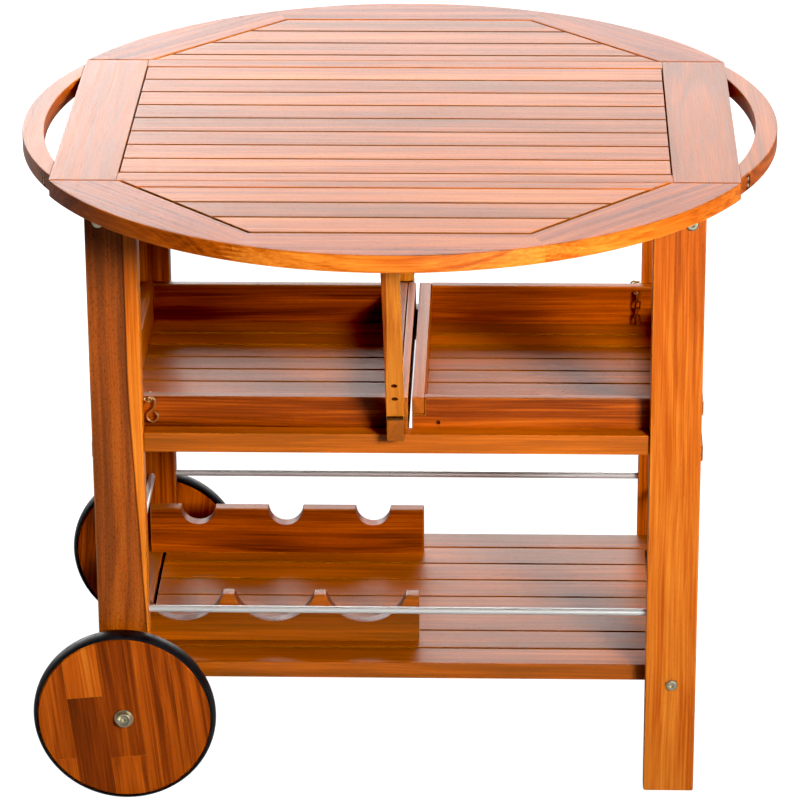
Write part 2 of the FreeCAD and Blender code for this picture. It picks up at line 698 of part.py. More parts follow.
def build_wheels():
    axles = []
    hardware = []
    x = s.wheel_x
    z = s.wheel_radius
    seat = s.wheel_outer + s.side_play + s.washer_thickness
    nut_radius = s.nut_width / (2 * cosine(Size.of(30)))
    for face, name in ((FRONT, "front"), (REAR, "rear")):
        piece = bolt("axle_bolt_" + name, s.axle_radius, seat - s.leg_back + s.axle_overhang,
                     s.axle_head_radius, s.axle_head_height, s.bolt_head_rim,
                     s.axle_socket_radius, s.axle_socket_depth)
        axles.append(outward(piece, face, x, seat, z))
        ends = (
            ("spacer", s.leg_front, s.wheel_inner - s.side_play, s.spacer_radius),
            ("washer", s.wheel_outer + s.side_play, seat, s.washer_radius))
        for kind, low, high, radius in ends:
            y = span(face, low, high)
            hardware.append(cut("axle_%s_%s" % (kind, name),
                                cylinder("axle_%s_body_%s" % (kind, name), "y", y, (x, z), radius),
                                [cylinder("axle_%s_hole_%s" % (kind, name), "y", y, (x, z),
                                          s.axle_radius)]))
        nut = doc.addObject("Part::Prism", "axle_nut_body_" + name)
        nut.Polygon = 6
        bind(nut, "Circumradius", nut_radius)
        bind(nut, "Height", s.nut_height)
        y = span(face, s.leg_back - s.nut_height, s.leg_back)
        put(nut, x, y[0], z, TURN["y"])
        hardware.append(cut("axle_nut_" + name, nut, [
            cylinder("axle_nut_hole_" + name, "y", y, (x, z), s.axle_radius)]))
        half = (s.wheel_outer - s.wheel_inner) / 2
        centre = (s.wheel_outer + s.wheel_inner) / 2
        bore = s.axle_radius + s.axle_play
        flat = s.disc_radius - s.disc_edge
        disc = revolved("wheel_disc_" + name, [
            (bore, -half), (flat, -half), (s.disc_radius, s.disc_edge - half),
            (s.disc_radius, half - s.disc_edge), (flat, half), (bore, half)])
        keep(name + "_wheel_disc", outward(disc, face, x, centre, z))
        wall = s.wheel_radius - s.tyre_crown
        tyre = revolved("wheel_tyre_" + name, [
            (s.disc_radius, -half), (wall, -half, arc_radius(half, s.tyre_crown), -1),
            (wall, half), (s.disc_radius, half)])
        keep(name + "_wheel_tyre", outward(tyre, face, x, centre, z))
    group("axle_bolts", axles)
    group("axle_hardware", hardware)


def hinge_half(name, centre, half, knuckles, axis, plate_y, plate_z, knuckle, bore):
    """One half of a butt hinge: a plate, and knuckles on the axis along X joined to it."""
    y, z = axis
    reach = (y, plate_y[0]) if y.number < plate_y[0].number else (plate_y[1], y)
    parts = [box(name + "_plate", about(centre, half), plate_y, plate_z)]
    for index, (low, high) in enumerate(knuckles):
        x = (centre + low, centre + high)
        parts.append(cylinder("%s_knuckle_%d" % (name, index), "x", x, axis, knuckle))
        parts.append(box("%s_tongue_%d" % (name, index), x, reach, plate_z))
    hole = cylinder(name + "_bore", "x", about(centre, half), axis, bore)
    return cut(name, fuse(name + "_blank", parts), [hole])


def hinge_knuckles(half, inner):
    """Knuckles of the fixed half (two) and of the moving half (one between them)."""
    return [(-half, -inner), (inner, half)], [(s.knuckle_play - inner, inner - s.knuckle_play)]


def build_hinges():
    fixed = []
    pins = []
    flaps = {}
    outer, inner = hinge_knuckles(s.hinge_half_length, s.hinge_middle_half)
    plate_z = (s.under_top - s.hinge_plate, s.under_top)
    for face, name in ((FRONT, "front"), (REAR, "rear")):
        axis = (face * s.hinge_half_width, s.under_top - s.hinge_drop)
        flaps[face] = []
        for index, x in enumerate((-s.hinge_x, Size.of(0), s.hinge_x)):
            tag = "leaf_hinge_%s_%d" % (name, index)
            frame_y = span(face, s.hinge_half_width - s.hinge_plate_end,
                           s.hinge_half_width - s.hinge_plate_start)
            leaf_y = span(face, s.hinge_half_width + s.hinge_plate_start,
                          s.hinge_half_width + s.hinge_plate_end)
            fixed.append(hinge_half(tag + "_fixed", x, s.hinge_half_length, outer, axis, frame_y,
                                    plate_z, s.hinge_knuckle, s.hinge_pin))
            flaps[face].append(hinge_half(tag + "_moving", x, s.hinge_half_length, inner, axis,
                                          leaf_y, plate_z, s.hinge_knuckle,
                                          s.hinge_pin + s.pin_play))
            pins.append(cylinder(tag + "_pin", "x", about(x, s.hinge_half_length), axis,
                                 s.hinge_pin))
    outer, inner = hinge_knuckles(s.small_half_length, s.small_middle_half)
    for face, name in ((FRONT, "front"), (REAR, "rear")):
        tag = "strut_hinge_" + name
        axis = (face * s.small_axis_y, s.small_axis_z)
        plate_y = span(face, s.small_axis_y - s.small_plate_end,
                       s.small_axis_y - s.small_plate_start)
        centre = Size.of(0)
        fixed.append(hinge_half(tag + "_fixed", centre, s.small_half_length, outer, axis, plate_y,
                                (s.block_top, s.block_top + s.small_plate), s.small_knuckle,
                                s.small_pin))
        keep(name + "_strut_hinge_flap", hinge_half(
            tag + "_moving", centre, s.small_half_length, inner, axis, plate_y,
            (s.strut_foot - s.small_plate, s.strut_foot), s.small_knuckle,
            s.small_pin + s.pin_play))
        pins.append(cylinder(tag + "_pin", "x", middle(s.small_half_length), axis, s.small_pin))
    group("hinge_plates", fixed)
    group("hinge_pins", pins)
    return flaps


def build_leaf(face, name, flaps):
    """One drop leaf; depth is measured outward from the hinge line."""
    radius = arc_radius(s.panel_half_length, s.leaf_reach)
    centre = s.hinge_half_width + s.leaf_reach - radius
    rim_depth = s.leaf_rail_end + s.slat_gap + s.leaf_slat_count * (s.leaf_slat_width + s.slat_gap)
    rim_y = s.hinge_half_width + rim_depth
    slope = (s.diagonal_start - s.diagonal_end) / rim_depth
    half_gap = s.slat_gap * root(1 + slope * slope) / 2

    def diagonal(depth):
        return s.diagonal_start - slope * depth

    def board(tag, near, far):
        low = face * (s.hinge_half_width + near)
        high = face * (s.hinge_half_width + far)
        wide = diagonal(near) - half_gap
        narrow = diagonal(far) - half_gap
        piece = padded("%s_leaf_%s" % (name, tag), "XY_Plane", [
            (-wide, low), (wide, low), (narrow, high), (-narrow, high)], s.top_thickness)
        return put(piece, 0, 0, s.under_top)

    keep(name + "_leaf_hinge_rail", board("hinge_rail", s.leaf_gap, s.leaf_rail_end))
    rows = []
    for index in range(int(s.leaf_slat_count.number)):
        near = s.leaf_rail_end + s.slat_gap + index * (s.leaf_slat_width + s.slat_gap)
        rows.append(board("slat_%d" % (index + 1), near, near + s.leaf_slat_width))
    group(name + "_leaf_slats", rows)

    # the joint between rim and wedge points at the middle of the arc
    joint_x = s.diagonal_end + half_gap
    joint_run = root(joint_x * joint_x + (rim_y - centre) * (rim_y - centre))
    arc_x = joint_x * radius / joint_run
    arc_y = centre + (rim_y - centre) * radius / joint_run
    start = s.hinge_half_width + s.leaf_gap
    tip_x = root(radius * radius - (start - centre) * (start - centre))
    wedges = []
    for side in (LEFT, RIGHT):
        piece = padded("%s_leaf_wedge_%d" % (name, side), "XY_Plane", [
            (side * (diagonal(s.leaf_gap) + half_gap), face * start),
            (side * tip_x, face * start, radius, -side * face),
            (side * arc_x, face * arc_y),
            (side * joint_x, face * rim_y)], s.top_thickness)
        wedges.append(put(piece, 0, 0, s.under_top))
    group(name + "_leaf_wedges", wedges)
    rim = padded(name + "_leaf_rim_board", "XY_Plane", [
        (-joint_x, face * rim_y), (-arc_x, face * arc_y, radius, face),
        (arc_x, face * arc_y), (joint_x, face * rim_y)], s.top_thickness)
    keep(name + "_leaf_rim", put(rim, 0, 0, s.under_top))
    group(name + "_leaf_battens", [
        box("%s_leaf_batten_%d" % (name, side), about(side * s.leaf_batten_x, s.batten_width / 2),
            span(face, s.hinge_half_width + s.leaf_batten_start,
                 s.hinge_half_width + s.leaf_batten_end),
            (s.under_top - s.batten_height, s.under_top)) for side in (LEFT, RIGHT)])
    group(name + "_leaf_hinge_flaps", flaps)


def build_strut(face, name):
    top = s.under_top - s.strut_play
    run = (top - s.strut_foot) * tangent(s.strut_lean)
    width = s.strut_section / cosine(s.strut_lean)
    near = s.block_front
    bar = padded(name + "_strut_bar", "YZ_Plane", [
        (face * near, s.strut_foot), (face * (near + run), top),
        (face * (near + run - width), top), (face * (near - width), s.strut_foot)],
        2 * s.block_half, midplane=True)
    holes = []
    for index, reach in enumerate((s.strut_hole_first, s.strut_hole_second)):
        hole = doc.addObject("Part::Cylinder", "%s_strut_hole_%d" % (name, index))
        bind(hole, "Radius", s.strut_hole_radius)
        bind(hole, "Height", s.strut_hole_depth)
        put(hole, 0, face * (near + reach * sine(s.strut_lean)),
            s.strut_foot + reach * cosine(s.strut_lean),
            FreeCAD.Rotation(face * X_AXIS, 90 - s.strut_lean.number))
        bind(hole, "Placement.Rotation.Angle", 90 - s.strut_lean)
        holes.append(hole)
    keep(name + "_strut", cut(name + "_strut", bar, holes))


def swept(name, points, closed=False):
    """A wire bent through the points, as one solid."""
    curve = Part.BSplineCurve()
    curve.interpolate(Points=points, PeriodicFlag=closed)
    path = Part.Wire([curve.toShape()])
    start = points[0]
    heading = curve.tangent(curve.FirstParameter)[0]
    ring = Part.Wire([Part.makeCircle(s.wire_radius.number, start, heading)])
    item = doc.addObject("Part::Feature", name)
    item.Shape = path.makePipeShell([ring], True, False)
    return item


def link(name, centre, flat_axis, length, width):
    """An oval chain link standing upright; flat_axis is the axis square to its plane."""
    half = width / 2 - s.wire_radius.number
    straight = length / 2 - width / 2
    across = Y_AXIS if flat_axis == "x" else X_AXIS
    corners = [across * half + Z_AXIS * straight, across * -half + Z_AXIS * straight,
               across * -half - Z_AXIS * straight, across * half - Z_AXIS * straight]
    top = Z_AXIS * (straight + half)
    edges = [
        Part.Arc(centre + corners[0], centre + top, centre + corners[1]).toShape(),
        Part.LineSegment(centre + corners[1], centre + corners[2]).toShape(),
        Part.Arc(centre + corners[2], centre - top, centre + corners[3]).toShape(),
        Part.LineSegment(centre + corners[3], centre + corners[0]).toShape()]
    ring = Part.Wire([Part.makeCircle(s.wire_radius.number, centre + corners[0], Z_AXIS)])
    item = doc.addObject("Part::Feature", name)
    item.Shape = Part.Wire(edges).makePipeShell([ring], True, False)
    return item


def screw_eye(name, axis, along, across, ring_axis):
    """A screw eye: along is (outer end of the shank, where the ring starts)."""
    low, high = sorted(along, key=lambda value: Size.of(value).number)
    shank = cylinder(name + "_shank", axis, (low, high), across, s.eye_shank_radius)
    ring = doc.addObject("Part::Torus", name + "_ring")
    bind(ring, "Radius1", s.eye_radius)
    bind(ring, "Radius2", s.wire_radius)
    outward_way = 1 if Size.of(along[1]).number > Size.of(along[0]).number else -1
    places = list(across)
    places.insert("xyz".index(axis), along[1] + outward_way * s.eye_radius)
    put(ring, *places, rotation=TURN[ring_axis])
    return fuse(name, [shank, ring])


def build_hooks():
    """A screw eye with an S-hook on the inner side of two legs."""
    pieces = []
    for side in (LEFT, RIGHT):
        ring_x = s.leg_inner - s.wire_radius
        pieces.append(screw_eye("hook_eye_%d" % side, "x",
                                (side * (s.leg_inner + s.eye_shank), side * ring_x),
                                (side * s.hook_y, s.hook_eye_z), "z"))
        far = ring_x.number - 2 * s.eye_radius.number
        loop = s.eye_radius.number
        top = s.hook_eye_z.number + 2 * s.wire_radius.number + s.hook_play.number - loop
        low = s.hook_ring_z.number
        big = s.hook_ring_radius.number
        middle_x = far - 0.2 * loop
        profile = [(far + loop, top - 1), (far + 0.7 * loop, top + 0.7 * loop), (far, top + loop),
                   (far - 0.75 * loop, top + 0.65 * loop), (far - loop, top - 1),
                   (far - 0.4 * loop, top - 2.2 * loop), (middle_x + big, low + 0.3 * big),
                   (middle_x + 0.8 * big, low - 0.6 * big), (middle_x, low - big),
                   (middle_x - 0.8 * big, low - 0.6 * big), (middle_x - big, low + 0.2 * big),
                   (middle_x - 0.5 * big, low + 0.85 * big)]
        pieces.append(swept("tray_hook_%d" % side, [
            FreeCAD.Vector(side * x, side * s.hook_y.number, z) for x, z in profile]))
    group("tray_hooks", pieces)


def build_tray(side, name):
    z = (s.tray_seat + s.tray_lift, s.tray_top)
    step = s.tray_top - s.tray_finger
    start = s.left_tray_start if side == LEFT else s.right_tray_start
    end = start + s.tray_length
    inner_x = start + s.tray_end_thickness
    outer_x = end - s.tray_end_thickness
    inner_y = s.tray_half_width - s.tray_side_thickness
    chain_y = side * s.tray_half_width
    eye_spot = (side * s.chain_x, s.chain_eye_z)
    boards = []
    for face in (FRONT, REAR):
        y = span(face, inner_y, s.tray_half_width)
        tag = "%s_tray_side_%d" % (name, face)
        board = fuse(tag + "_board", [
            box(tag + "_low", span(side, start, end), y, (z[0], step)),
            box(tag + "_high", span(side, inner_x, outer_x), y, (step, z[1]))])
        if face == side:
            hole = cylinder(tag + "_hole", "y", y, eye_spot, s.eye_shank_radius)
        else:
            hole = cylinder(tag + "_hole", "y", y, (side * (start + s.tray_hole_inset), s.tray_hole_z),
                            s.tray_hole_radius)
        boards.append(cut(tag, board, [hole]))
    group(name + "_tray_sides", boards)
    ends = []
    for low, high, tag in ((start, inner_x, "inner"), (outer_x, end, "outer")):
        tag = "%s_tray_end_%s" % (name, tag)
        x = span(side, low, high)
        parts = [box(tag + "_low", x, middle(inner_y), (z[0], step)),
                 box(tag + "_high", x, middle(s.tray_half_width), (step, z[1]))]
        if high is end:
            parts.append(box(tag + "_lip", span(side, end, end + s.lip_reach),
                             middle(s.lip_half_width), (s.lip_low, s.lip_high)))
        ends.append(fuse(tag, parts))
    group(name + "_tray_ends", ends)
    count = s.tray_slat_count
    width = (2 * inner_y - (count - 1) * s.tray_slat_gap) / count
    group(name + "_tray_slats", slats(
        name + "_tray_slat", int(count.number), -inner_y, width, s.tray_slat_gap,
        span(side, inner_x, outer_x), (z[0], s.tray_floor)))
    eye_y = side * (inner_y - s.wire_radius)
    pieces = [screw_eye(name + "_chain_eye", "y", (chain_y, eye_y), eye_spot, "z")]
    hang_y = side * (inner_y.number - s.wire_radius.number - 2 * s.eye_radius.number)
    wire = s.wire_radius.number
    length = s.link_length.number
    pitch = length - 4 * wire - s.link_play.number
    height = s.chain_eye_z.number + 2 * wire + s.link_play.number - length / 2
    for index in range(int(s.link_count.number)):
        centre = FreeCAD.Vector(side * s.chain_x.number, hang_y, height - index * pitch)
        pieces.append(link("%s_chain_link_%d" % (name, index + 1), centre, "xy"[index % 2], length,
                           s.link_width.number))
    group(name + "_tray_chain", pieces)


def build():
    build_top()
    build_handles()
    build_legs()
    build_mid_frame()
    build_shelf()
    build_bolts()
    build_wheels()
    flaps = build_hinges()
    for face, name in ((FRONT, "front"), (REAR, "rear")):
        build_leaf(face, name, flaps[face])
        build_strut(face, name)
    build_hooks()
    for side, name in ((LEFT, "left"), (RIGHT, "right")):
        build_tray(side, name)
    doc.recompute()


def check():
    """Stop before anything is written if a feature failed or a shape is not sound."""
    bad = [item.Name for item in doc.Objects if {"Invalid", "Error"} & set(item.State)]
    for node in nodes:
        if node.Shape.isNull() or not node.Shape.isValid() or not node.Shape.Solids:
            bad.append(node.Label)
    if bad:
        raise RuntimeError("not sound: " + ", ".join(sorted(set(bad))))


def write():
    os.makedirs("parts", exist_ok=True)
    for node in nodes:
        node.Shape.exportStep("parts/%s.step" % node.Label)
        print("%-28s %3d solids %12.1f mm3" % (node.Label, len(node.Shape.Solids),
                                               node.Shape.Volume))


build()
check()
write()
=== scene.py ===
import contextlib
import json
import math
import random

import bmesh
import bpy
import numpy as np
from bpy.props import FloatProperty, FloatVectorProperty, PointerProperty
from mathutils import Matrix, Vector

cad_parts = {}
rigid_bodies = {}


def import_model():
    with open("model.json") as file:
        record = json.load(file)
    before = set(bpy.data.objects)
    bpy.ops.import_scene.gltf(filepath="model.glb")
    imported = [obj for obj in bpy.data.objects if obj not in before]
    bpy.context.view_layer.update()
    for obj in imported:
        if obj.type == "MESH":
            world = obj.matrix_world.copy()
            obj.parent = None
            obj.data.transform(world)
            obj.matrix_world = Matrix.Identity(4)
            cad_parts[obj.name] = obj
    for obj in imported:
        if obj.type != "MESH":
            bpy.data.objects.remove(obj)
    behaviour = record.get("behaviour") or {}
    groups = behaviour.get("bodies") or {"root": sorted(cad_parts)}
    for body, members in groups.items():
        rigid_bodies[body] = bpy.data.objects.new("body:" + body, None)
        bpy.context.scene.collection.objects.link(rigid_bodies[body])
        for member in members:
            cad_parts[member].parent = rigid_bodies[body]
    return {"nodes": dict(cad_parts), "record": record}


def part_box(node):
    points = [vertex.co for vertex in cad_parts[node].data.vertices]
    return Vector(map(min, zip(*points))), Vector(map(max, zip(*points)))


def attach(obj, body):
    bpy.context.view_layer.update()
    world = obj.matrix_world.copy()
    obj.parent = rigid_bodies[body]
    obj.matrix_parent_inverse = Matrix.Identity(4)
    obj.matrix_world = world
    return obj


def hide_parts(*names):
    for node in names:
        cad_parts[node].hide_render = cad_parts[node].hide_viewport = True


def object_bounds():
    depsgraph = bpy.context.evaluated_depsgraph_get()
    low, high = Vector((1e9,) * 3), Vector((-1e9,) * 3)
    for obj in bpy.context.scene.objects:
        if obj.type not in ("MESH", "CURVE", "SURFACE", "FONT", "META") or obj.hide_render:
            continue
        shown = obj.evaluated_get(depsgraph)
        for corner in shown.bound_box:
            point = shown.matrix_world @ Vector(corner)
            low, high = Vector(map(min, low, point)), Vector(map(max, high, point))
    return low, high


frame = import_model()
CAD_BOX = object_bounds()

bl_info = {
    "name": "Bar cart",
    "version": (1, 0, 0),
    "blender": (4, 5, 0),
    "location": "3D View > Sidebar > Bar cart",
    "description": "Finishes a slatted drop-leaf bar cart: boards, wheels, fittings and studio",
    "category": "Add Mesh",
}

BODY_OF = {node: body for body, nodes in frame["record"]["behaviour"]["bodies"].items()
           for node in nodes}

# Distance of doubled points, the angles of flat, outside and smoothed edges, and a quarter turn.
MERGE = 1e-6
FLAT = math.radians(0.5)
SHARP = math.radians(32)
SMOOTH = math.radians(38)
QUARTER = math.radians(90)

# Faces by how far they look along an axis: glued to the next board, across the grain, in the gap
# between two slats, and the under side and crown of a bolt's head.
GLUED = 0.7
END_GRAIN = 0.75
GAP_SIDE = 0.4
UNDER_SIDE = -0.9
CROWN = 0.99

# Faces that aren't eased and have no edge as long as DRILLED count as the wall of a hole. Then how
# dark the painted shade on such faces and on those in gaps is, and how far a board's tone may
# stray, in spreads.
DRILLED = 0.0125
HOLE_AND_GAP_SHADE = 2.1
TONE_LIMIT = 1.7

# Patterns of the grain along, across and through a board, and how far the grain sways.
SWAY_SCALE = (2.4, 10, 10)
SWAY = 0.016
RING_SCALE, ALONG_SCALE, THROUGH_SCALE = 150, 1.1, 6
FIBRE = (7, 430, 430)
FIGURE = (4, 26, 26)
PORE = (190, 2100, 2100)
SPECK = (240, 1300, 1300)

# Sapwood of a leg and heart of a strut: edge, bend, slope and line, as oiled_wood takes them.
LEG_SAPWOOD = (-0.3017, 0.52, 0.045, 0.7)
STRUT_HEART = (-0.0042, 0.73, -0.0235, 0.0)

# Dust on the tyres.
DUST = (0.03, 0.03, 0.032)

# Finger joints of a leaf: one finger's width and length, and the tones of the boards they join.
FINGER = 0.0052
FINGER_REACH = 0.045
RIM_TONE = 0.2
LEFT_WEDGE = 0.0
RIGHT_WEDGE = 0.12

# How far a leaf's battens are cut back below, and the blind hole of the right tray: its place on
# the board, its radius and the thickness of wood left in it.
UNDERCUT = 0.012
TRAY_HOLE = (0.047, 0.4535)
HOLE_RADIUS = 0.00245
HOLE_END = 0.006

# Fasteners and what drives them, and the rim and floor of a dished head.
HANDLE_SCREW = {"head": 0.0032, "height": 0.0018, "rounding": 0.0005, "shank": 0.0018,
                "reach": 0.02}
SCREW_CROSS = {"reach": 0.0019, "width": 0.0004, "depth": 0.0011}
LEG_BOLT = {"head": 0.007, "height": 0.0034, "rounding": 0.0022, "shank": 0.003, "reach": 0.06}
LEG_KEY = {"radius": 0.0026, "depth": 0.0022}
AXLE_BOLT = {"head": 0.009, "height": 0.006, "rounding": 0.0015, "shank": 0.005, "reach": 0.06,
             "dish": 0.0024}
AXLE_KEY = {"radius": 0.0029, "depth": 0.0032, "top": -0.0024}
DISH_RIM = 0.3
DISH_FLOOR = 0.62

# Stage: drop of the floor below the wheels, colours of the floor and the sky, black level of the
# picture, sensor and far end of the view.
FLOOR_DROP = 0.0006
FLOOR_TINT = (0.2, 0.2, 0.2)
FLOOR_GLOW = (0.16, 0.16, 0.16)
WHITE = (1.0, 1.0, 1.0)
BLACK_LEVEL = 0.008
SENSOR = 36.0
FAR_END = 60.0

# Glued blocks of a wheel: left, right, low and high edge from the axle, and tone. RIM stands for
# no edge there, WHEEL_LEAN turns the blocks, and edges over GLUE_LINE long get a groove.
RIM = 1.0
WHEEL_LEAN = 0.103
GLUE_LINE = 0.012
WHEEL_BLOCKS = (
    (-RIM, -0.0623, -RIM, -0.0464, 0.0), (-RIM, -0.0623, -0.0464, RIM, -0.12),
    (-0.0623, -0.0215, -RIM, 0.0302, -0.25), (-0.0623, -0.0215, 0.0302, RIM, 0.02),
    (-0.0215, 0.0205, -RIM, -0.0497, -0.03), (-0.0215, 0.0205, -0.0497, RIM, -0.17),
    (0.0205, 0.062, -RIM, RIM, -0.07), (0.062, RIM, -RIM, RIM, -0.11),
)


# ---------------------------------------------------------------- sizes and colours

def length(name, description, default):
    return FloatProperty(name=name, description=description, default=default, min=0.0,
                         unit="LENGTH", precision=5)


def share(name, description, default, top=1.0):
    return FloatProperty(name=name, description=description, default=default, min=0.0, max=top,
                         subtype="FACTOR")


def colour(name, description, default):
    return FloatVectorProperty(name=name, description=description, default=default, size=3,
                               min=0.0, max=1.0, subtype="COLOR")


class CartTimber(bpy.types.PropertyGroup):
    """Oiled hardwood of every board."""
    # The dark colour is also the painted shade in drilled holes and in the gaps of slats.
    dark: colour("Dark lines", "Latewood lines and pores", (0.055, 0.0095, 0.001))
    heart: colour("Heartwood", "Darker heartwood", (0.2, 0.032, 0.002))
    brown: colour("Brown heart", "Brown heartwood beside pale sapwood", (0.23, 0.068, 0.017))
    body: colour("Body", "Usual colour of the timber", (0.43, 0.082, 0.004))
    # The light colour also tints the eased edges: partly edge wear, partly a painted highlight.
    light: colour("Light", "Light boards and sapwood", (0.74, 0.24, 0.024))
    spread: share("Board to board", "How much the boards differ in tone", 0.06)
    gloss: share("Roughness", "Roughness of the oiled face", 0.38)
    sheen: share("Reflection", "Reflection of the oil seen face on", 0.28)
    relief: length("Grain relief", "Depth of the grain under the oil", 0.0003)


class CartEdges(bpy.types.PropertyGroup):
    """Roundings of the boards."""
    slat: length("Slats", "Eased edge of a slat", 0.0008)
    board: length("Boards", "Eased edge of rails, boards and racks", 0.0016)
    leg: length("Legs", "Eased edge of a leg", 0.0024)
    rim: length("Rims", "Eased edge of a rim or a handle", 0.0016)
    batten: length("Battens", "Rounded edge of a leaf's batten", 0.004)
    glue: length("Glue lines", "Fine groove where two wheel blocks are glued", 0.00025)
    metal: length("Metal", "Broken edge of a fitting", 0.0003)


class CartMetal(bpy.types.PropertyGroup):
    """Finishes of the fittings and tyres."""
    steel: colour("Steel", "Guard rods", (0.72, 0.71, 0.69))
    zinc: colour("Zinc", "Bolts and screws with a yellow zinc coat", (0.86, 0.79, 0.56))
    brass: colour("Brass", "Chains and hooks", (0.9, 0.66, 0.3))
    # The hinges' dark bronze is painted shade: it makes them read as the dark seam they sit in.
    tarnish: colour("Tarnish", "Dulled brass, as on the hinges", (0.2, 0.12, 0.045))
    rubber: colour("Rubber", "Tyres", (0.006, 0.006, 0.007))


class CartStage(bpy.types.PropertyGroup):
    """Floor, lights and camera."""
    floor: length("Floor", "Side of the floor", 24.0)
    eye: FloatVectorProperty(name="Camera", description="Where the camera stands", size=3,
                             default=(0.13913, -4.50473, 2.28084), subtype="TRANSLATION",
                             unit="LENGTH")
    yaw: FloatProperty(name="Yaw", description="Camera to the left", subtype="ANGLE",
                       default=math.radians(1.79))
    pitch: FloatProperty(name="Pitch", description="Camera downwards", subtype="ANGLE",
                         default=math.radians(22.6))
    roll: FloatProperty(name="Roll", description="Camera about its own line", subtype="ANGLE",
                        default=math.radians(-0.34))
    lens: FloatProperty(name="Lens", description="Focal length in millimetres", default=186.82)
    sky: FloatProperty(name="Sky", description="Strength of the light from all round", default=0.14)
    key: FloatProperty(name="Key light", description="Watts from the front right", default=26.5)
    spark: FloatProperty(name="Spark light", description="Watts from low in front for the metal",
                         default=40.0)
    back: FloatProperty(name="Back light", description="Watts from behind", default=195.0)
    glare: FloatProperty(name="Left glare", description="Watts from behind on the left",
                         default=22.0)
    top: FloatProperty(name="Top light", description="Watts from above", default=10.0)


# ---------------------------------------------------------------- shading

class Strand:
    """A socket of a material's nodes; sums and products of strands add Math nodes."""

    def __init__(self, tree, socket=None):
        self.tree = tree
        self.socket = socket

    def node(self, kind, settings=(), sockets=(), out=0):
        """Add any node: its settings first, then the values or links of its sockets."""
        made = self.tree.nodes.new("ShaderNode" + kind)
        for key, value in dict(settings).items():
            if key == "stops":
                ramp = made.color_ramp.elements
                while len(ramp) < len(value):
                    ramp.new(0.5)
                for element, (place, tint) in zip(ramp, value):
                    element.position = place
                    element.color = rgba(tint)
            else:
                setattr(made, key, value)
        for key, value in dict(sockets).items():
            if isinstance(value, Strand):
                self.tree.links.new(value.socket, made.inputs[key])
            else:
                made.inputs[key].default_value = value
        return Strand(self.tree, made.outputs[out])

    def math(self, operation, first, second=0.0):
        return self.node("Math", {"operation": operation}, {0: first, 1: second})

    def __add__(self, other):
        return self.math("ADD", self, other)

    def __radd__(self, other):
        return self.math("ADD", other, self)

    def __sub__(self, other):
        return self.math("SUBTRACT", self, other)

    def __rsub__(self, other):
        return self.math("SUBTRACT", other, self)

    def __mul__(self, other):
        return self.math("MULTIPLY", self, other)

    def __rmul__(self, other):
        return self.math("MULTIPLY", other, self)

    def clamped(self, low, high):
        """The share of the way from low to high, kept within 0 and 1."""
        return self.node("MapRange", {"interpolation_type": "SMOOTHSTEP"},
                         {"Value": self, "From Min": low, "From Max": high})

    def stretched(self, *by):
        return self.node("VectorMath", {"operation": "MULTIPLY"}, {0: self, 1: by})

    def noise(self, detail=2.0, rough=0.5, scale=1.0, out=0):
        return self.node("TexNoise", {}, {"Vector": self, "Scale": scale, "Detail": detail,
                                          "Roughness": rough}, out)

    def parts(self):
        """The three numbers of a vector."""
        split = self.node("SeparateXYZ", {}, {0: self}).socket.node
        return [Strand(self.tree, out) for out in split.outputs]

    def attribute(self, name, out):
        return self.node("Attribute", {"attribute_name": name}, {}, out)

    def between(self, first, second):
        """A colour from the first to the second, by this share."""
        return self.node("Mix", {"data_type": "RGBA"}, {0: self, 6: first, 7: second}, 2)

    def blend(self, tint, by):
        """This colour going over to another by a share."""
        return by.between(self, tint)


def new_finish(name):
    """An empty material, its start strand and its shader node."""
    material = bpy.data.materials.new(name)
    material.use_nodes = True
    shader = material.node_tree.nodes["Principled BSDF"]
    return material, Strand(material.node_tree), shader


def wire(tree, strand, shader, socket):
    tree.links.new(strand.socket, shader.inputs[socket])


def rgba(tint):
    return (*tint, 1.0)


def scaled(tint, by):
    return [by * c for c in tint]


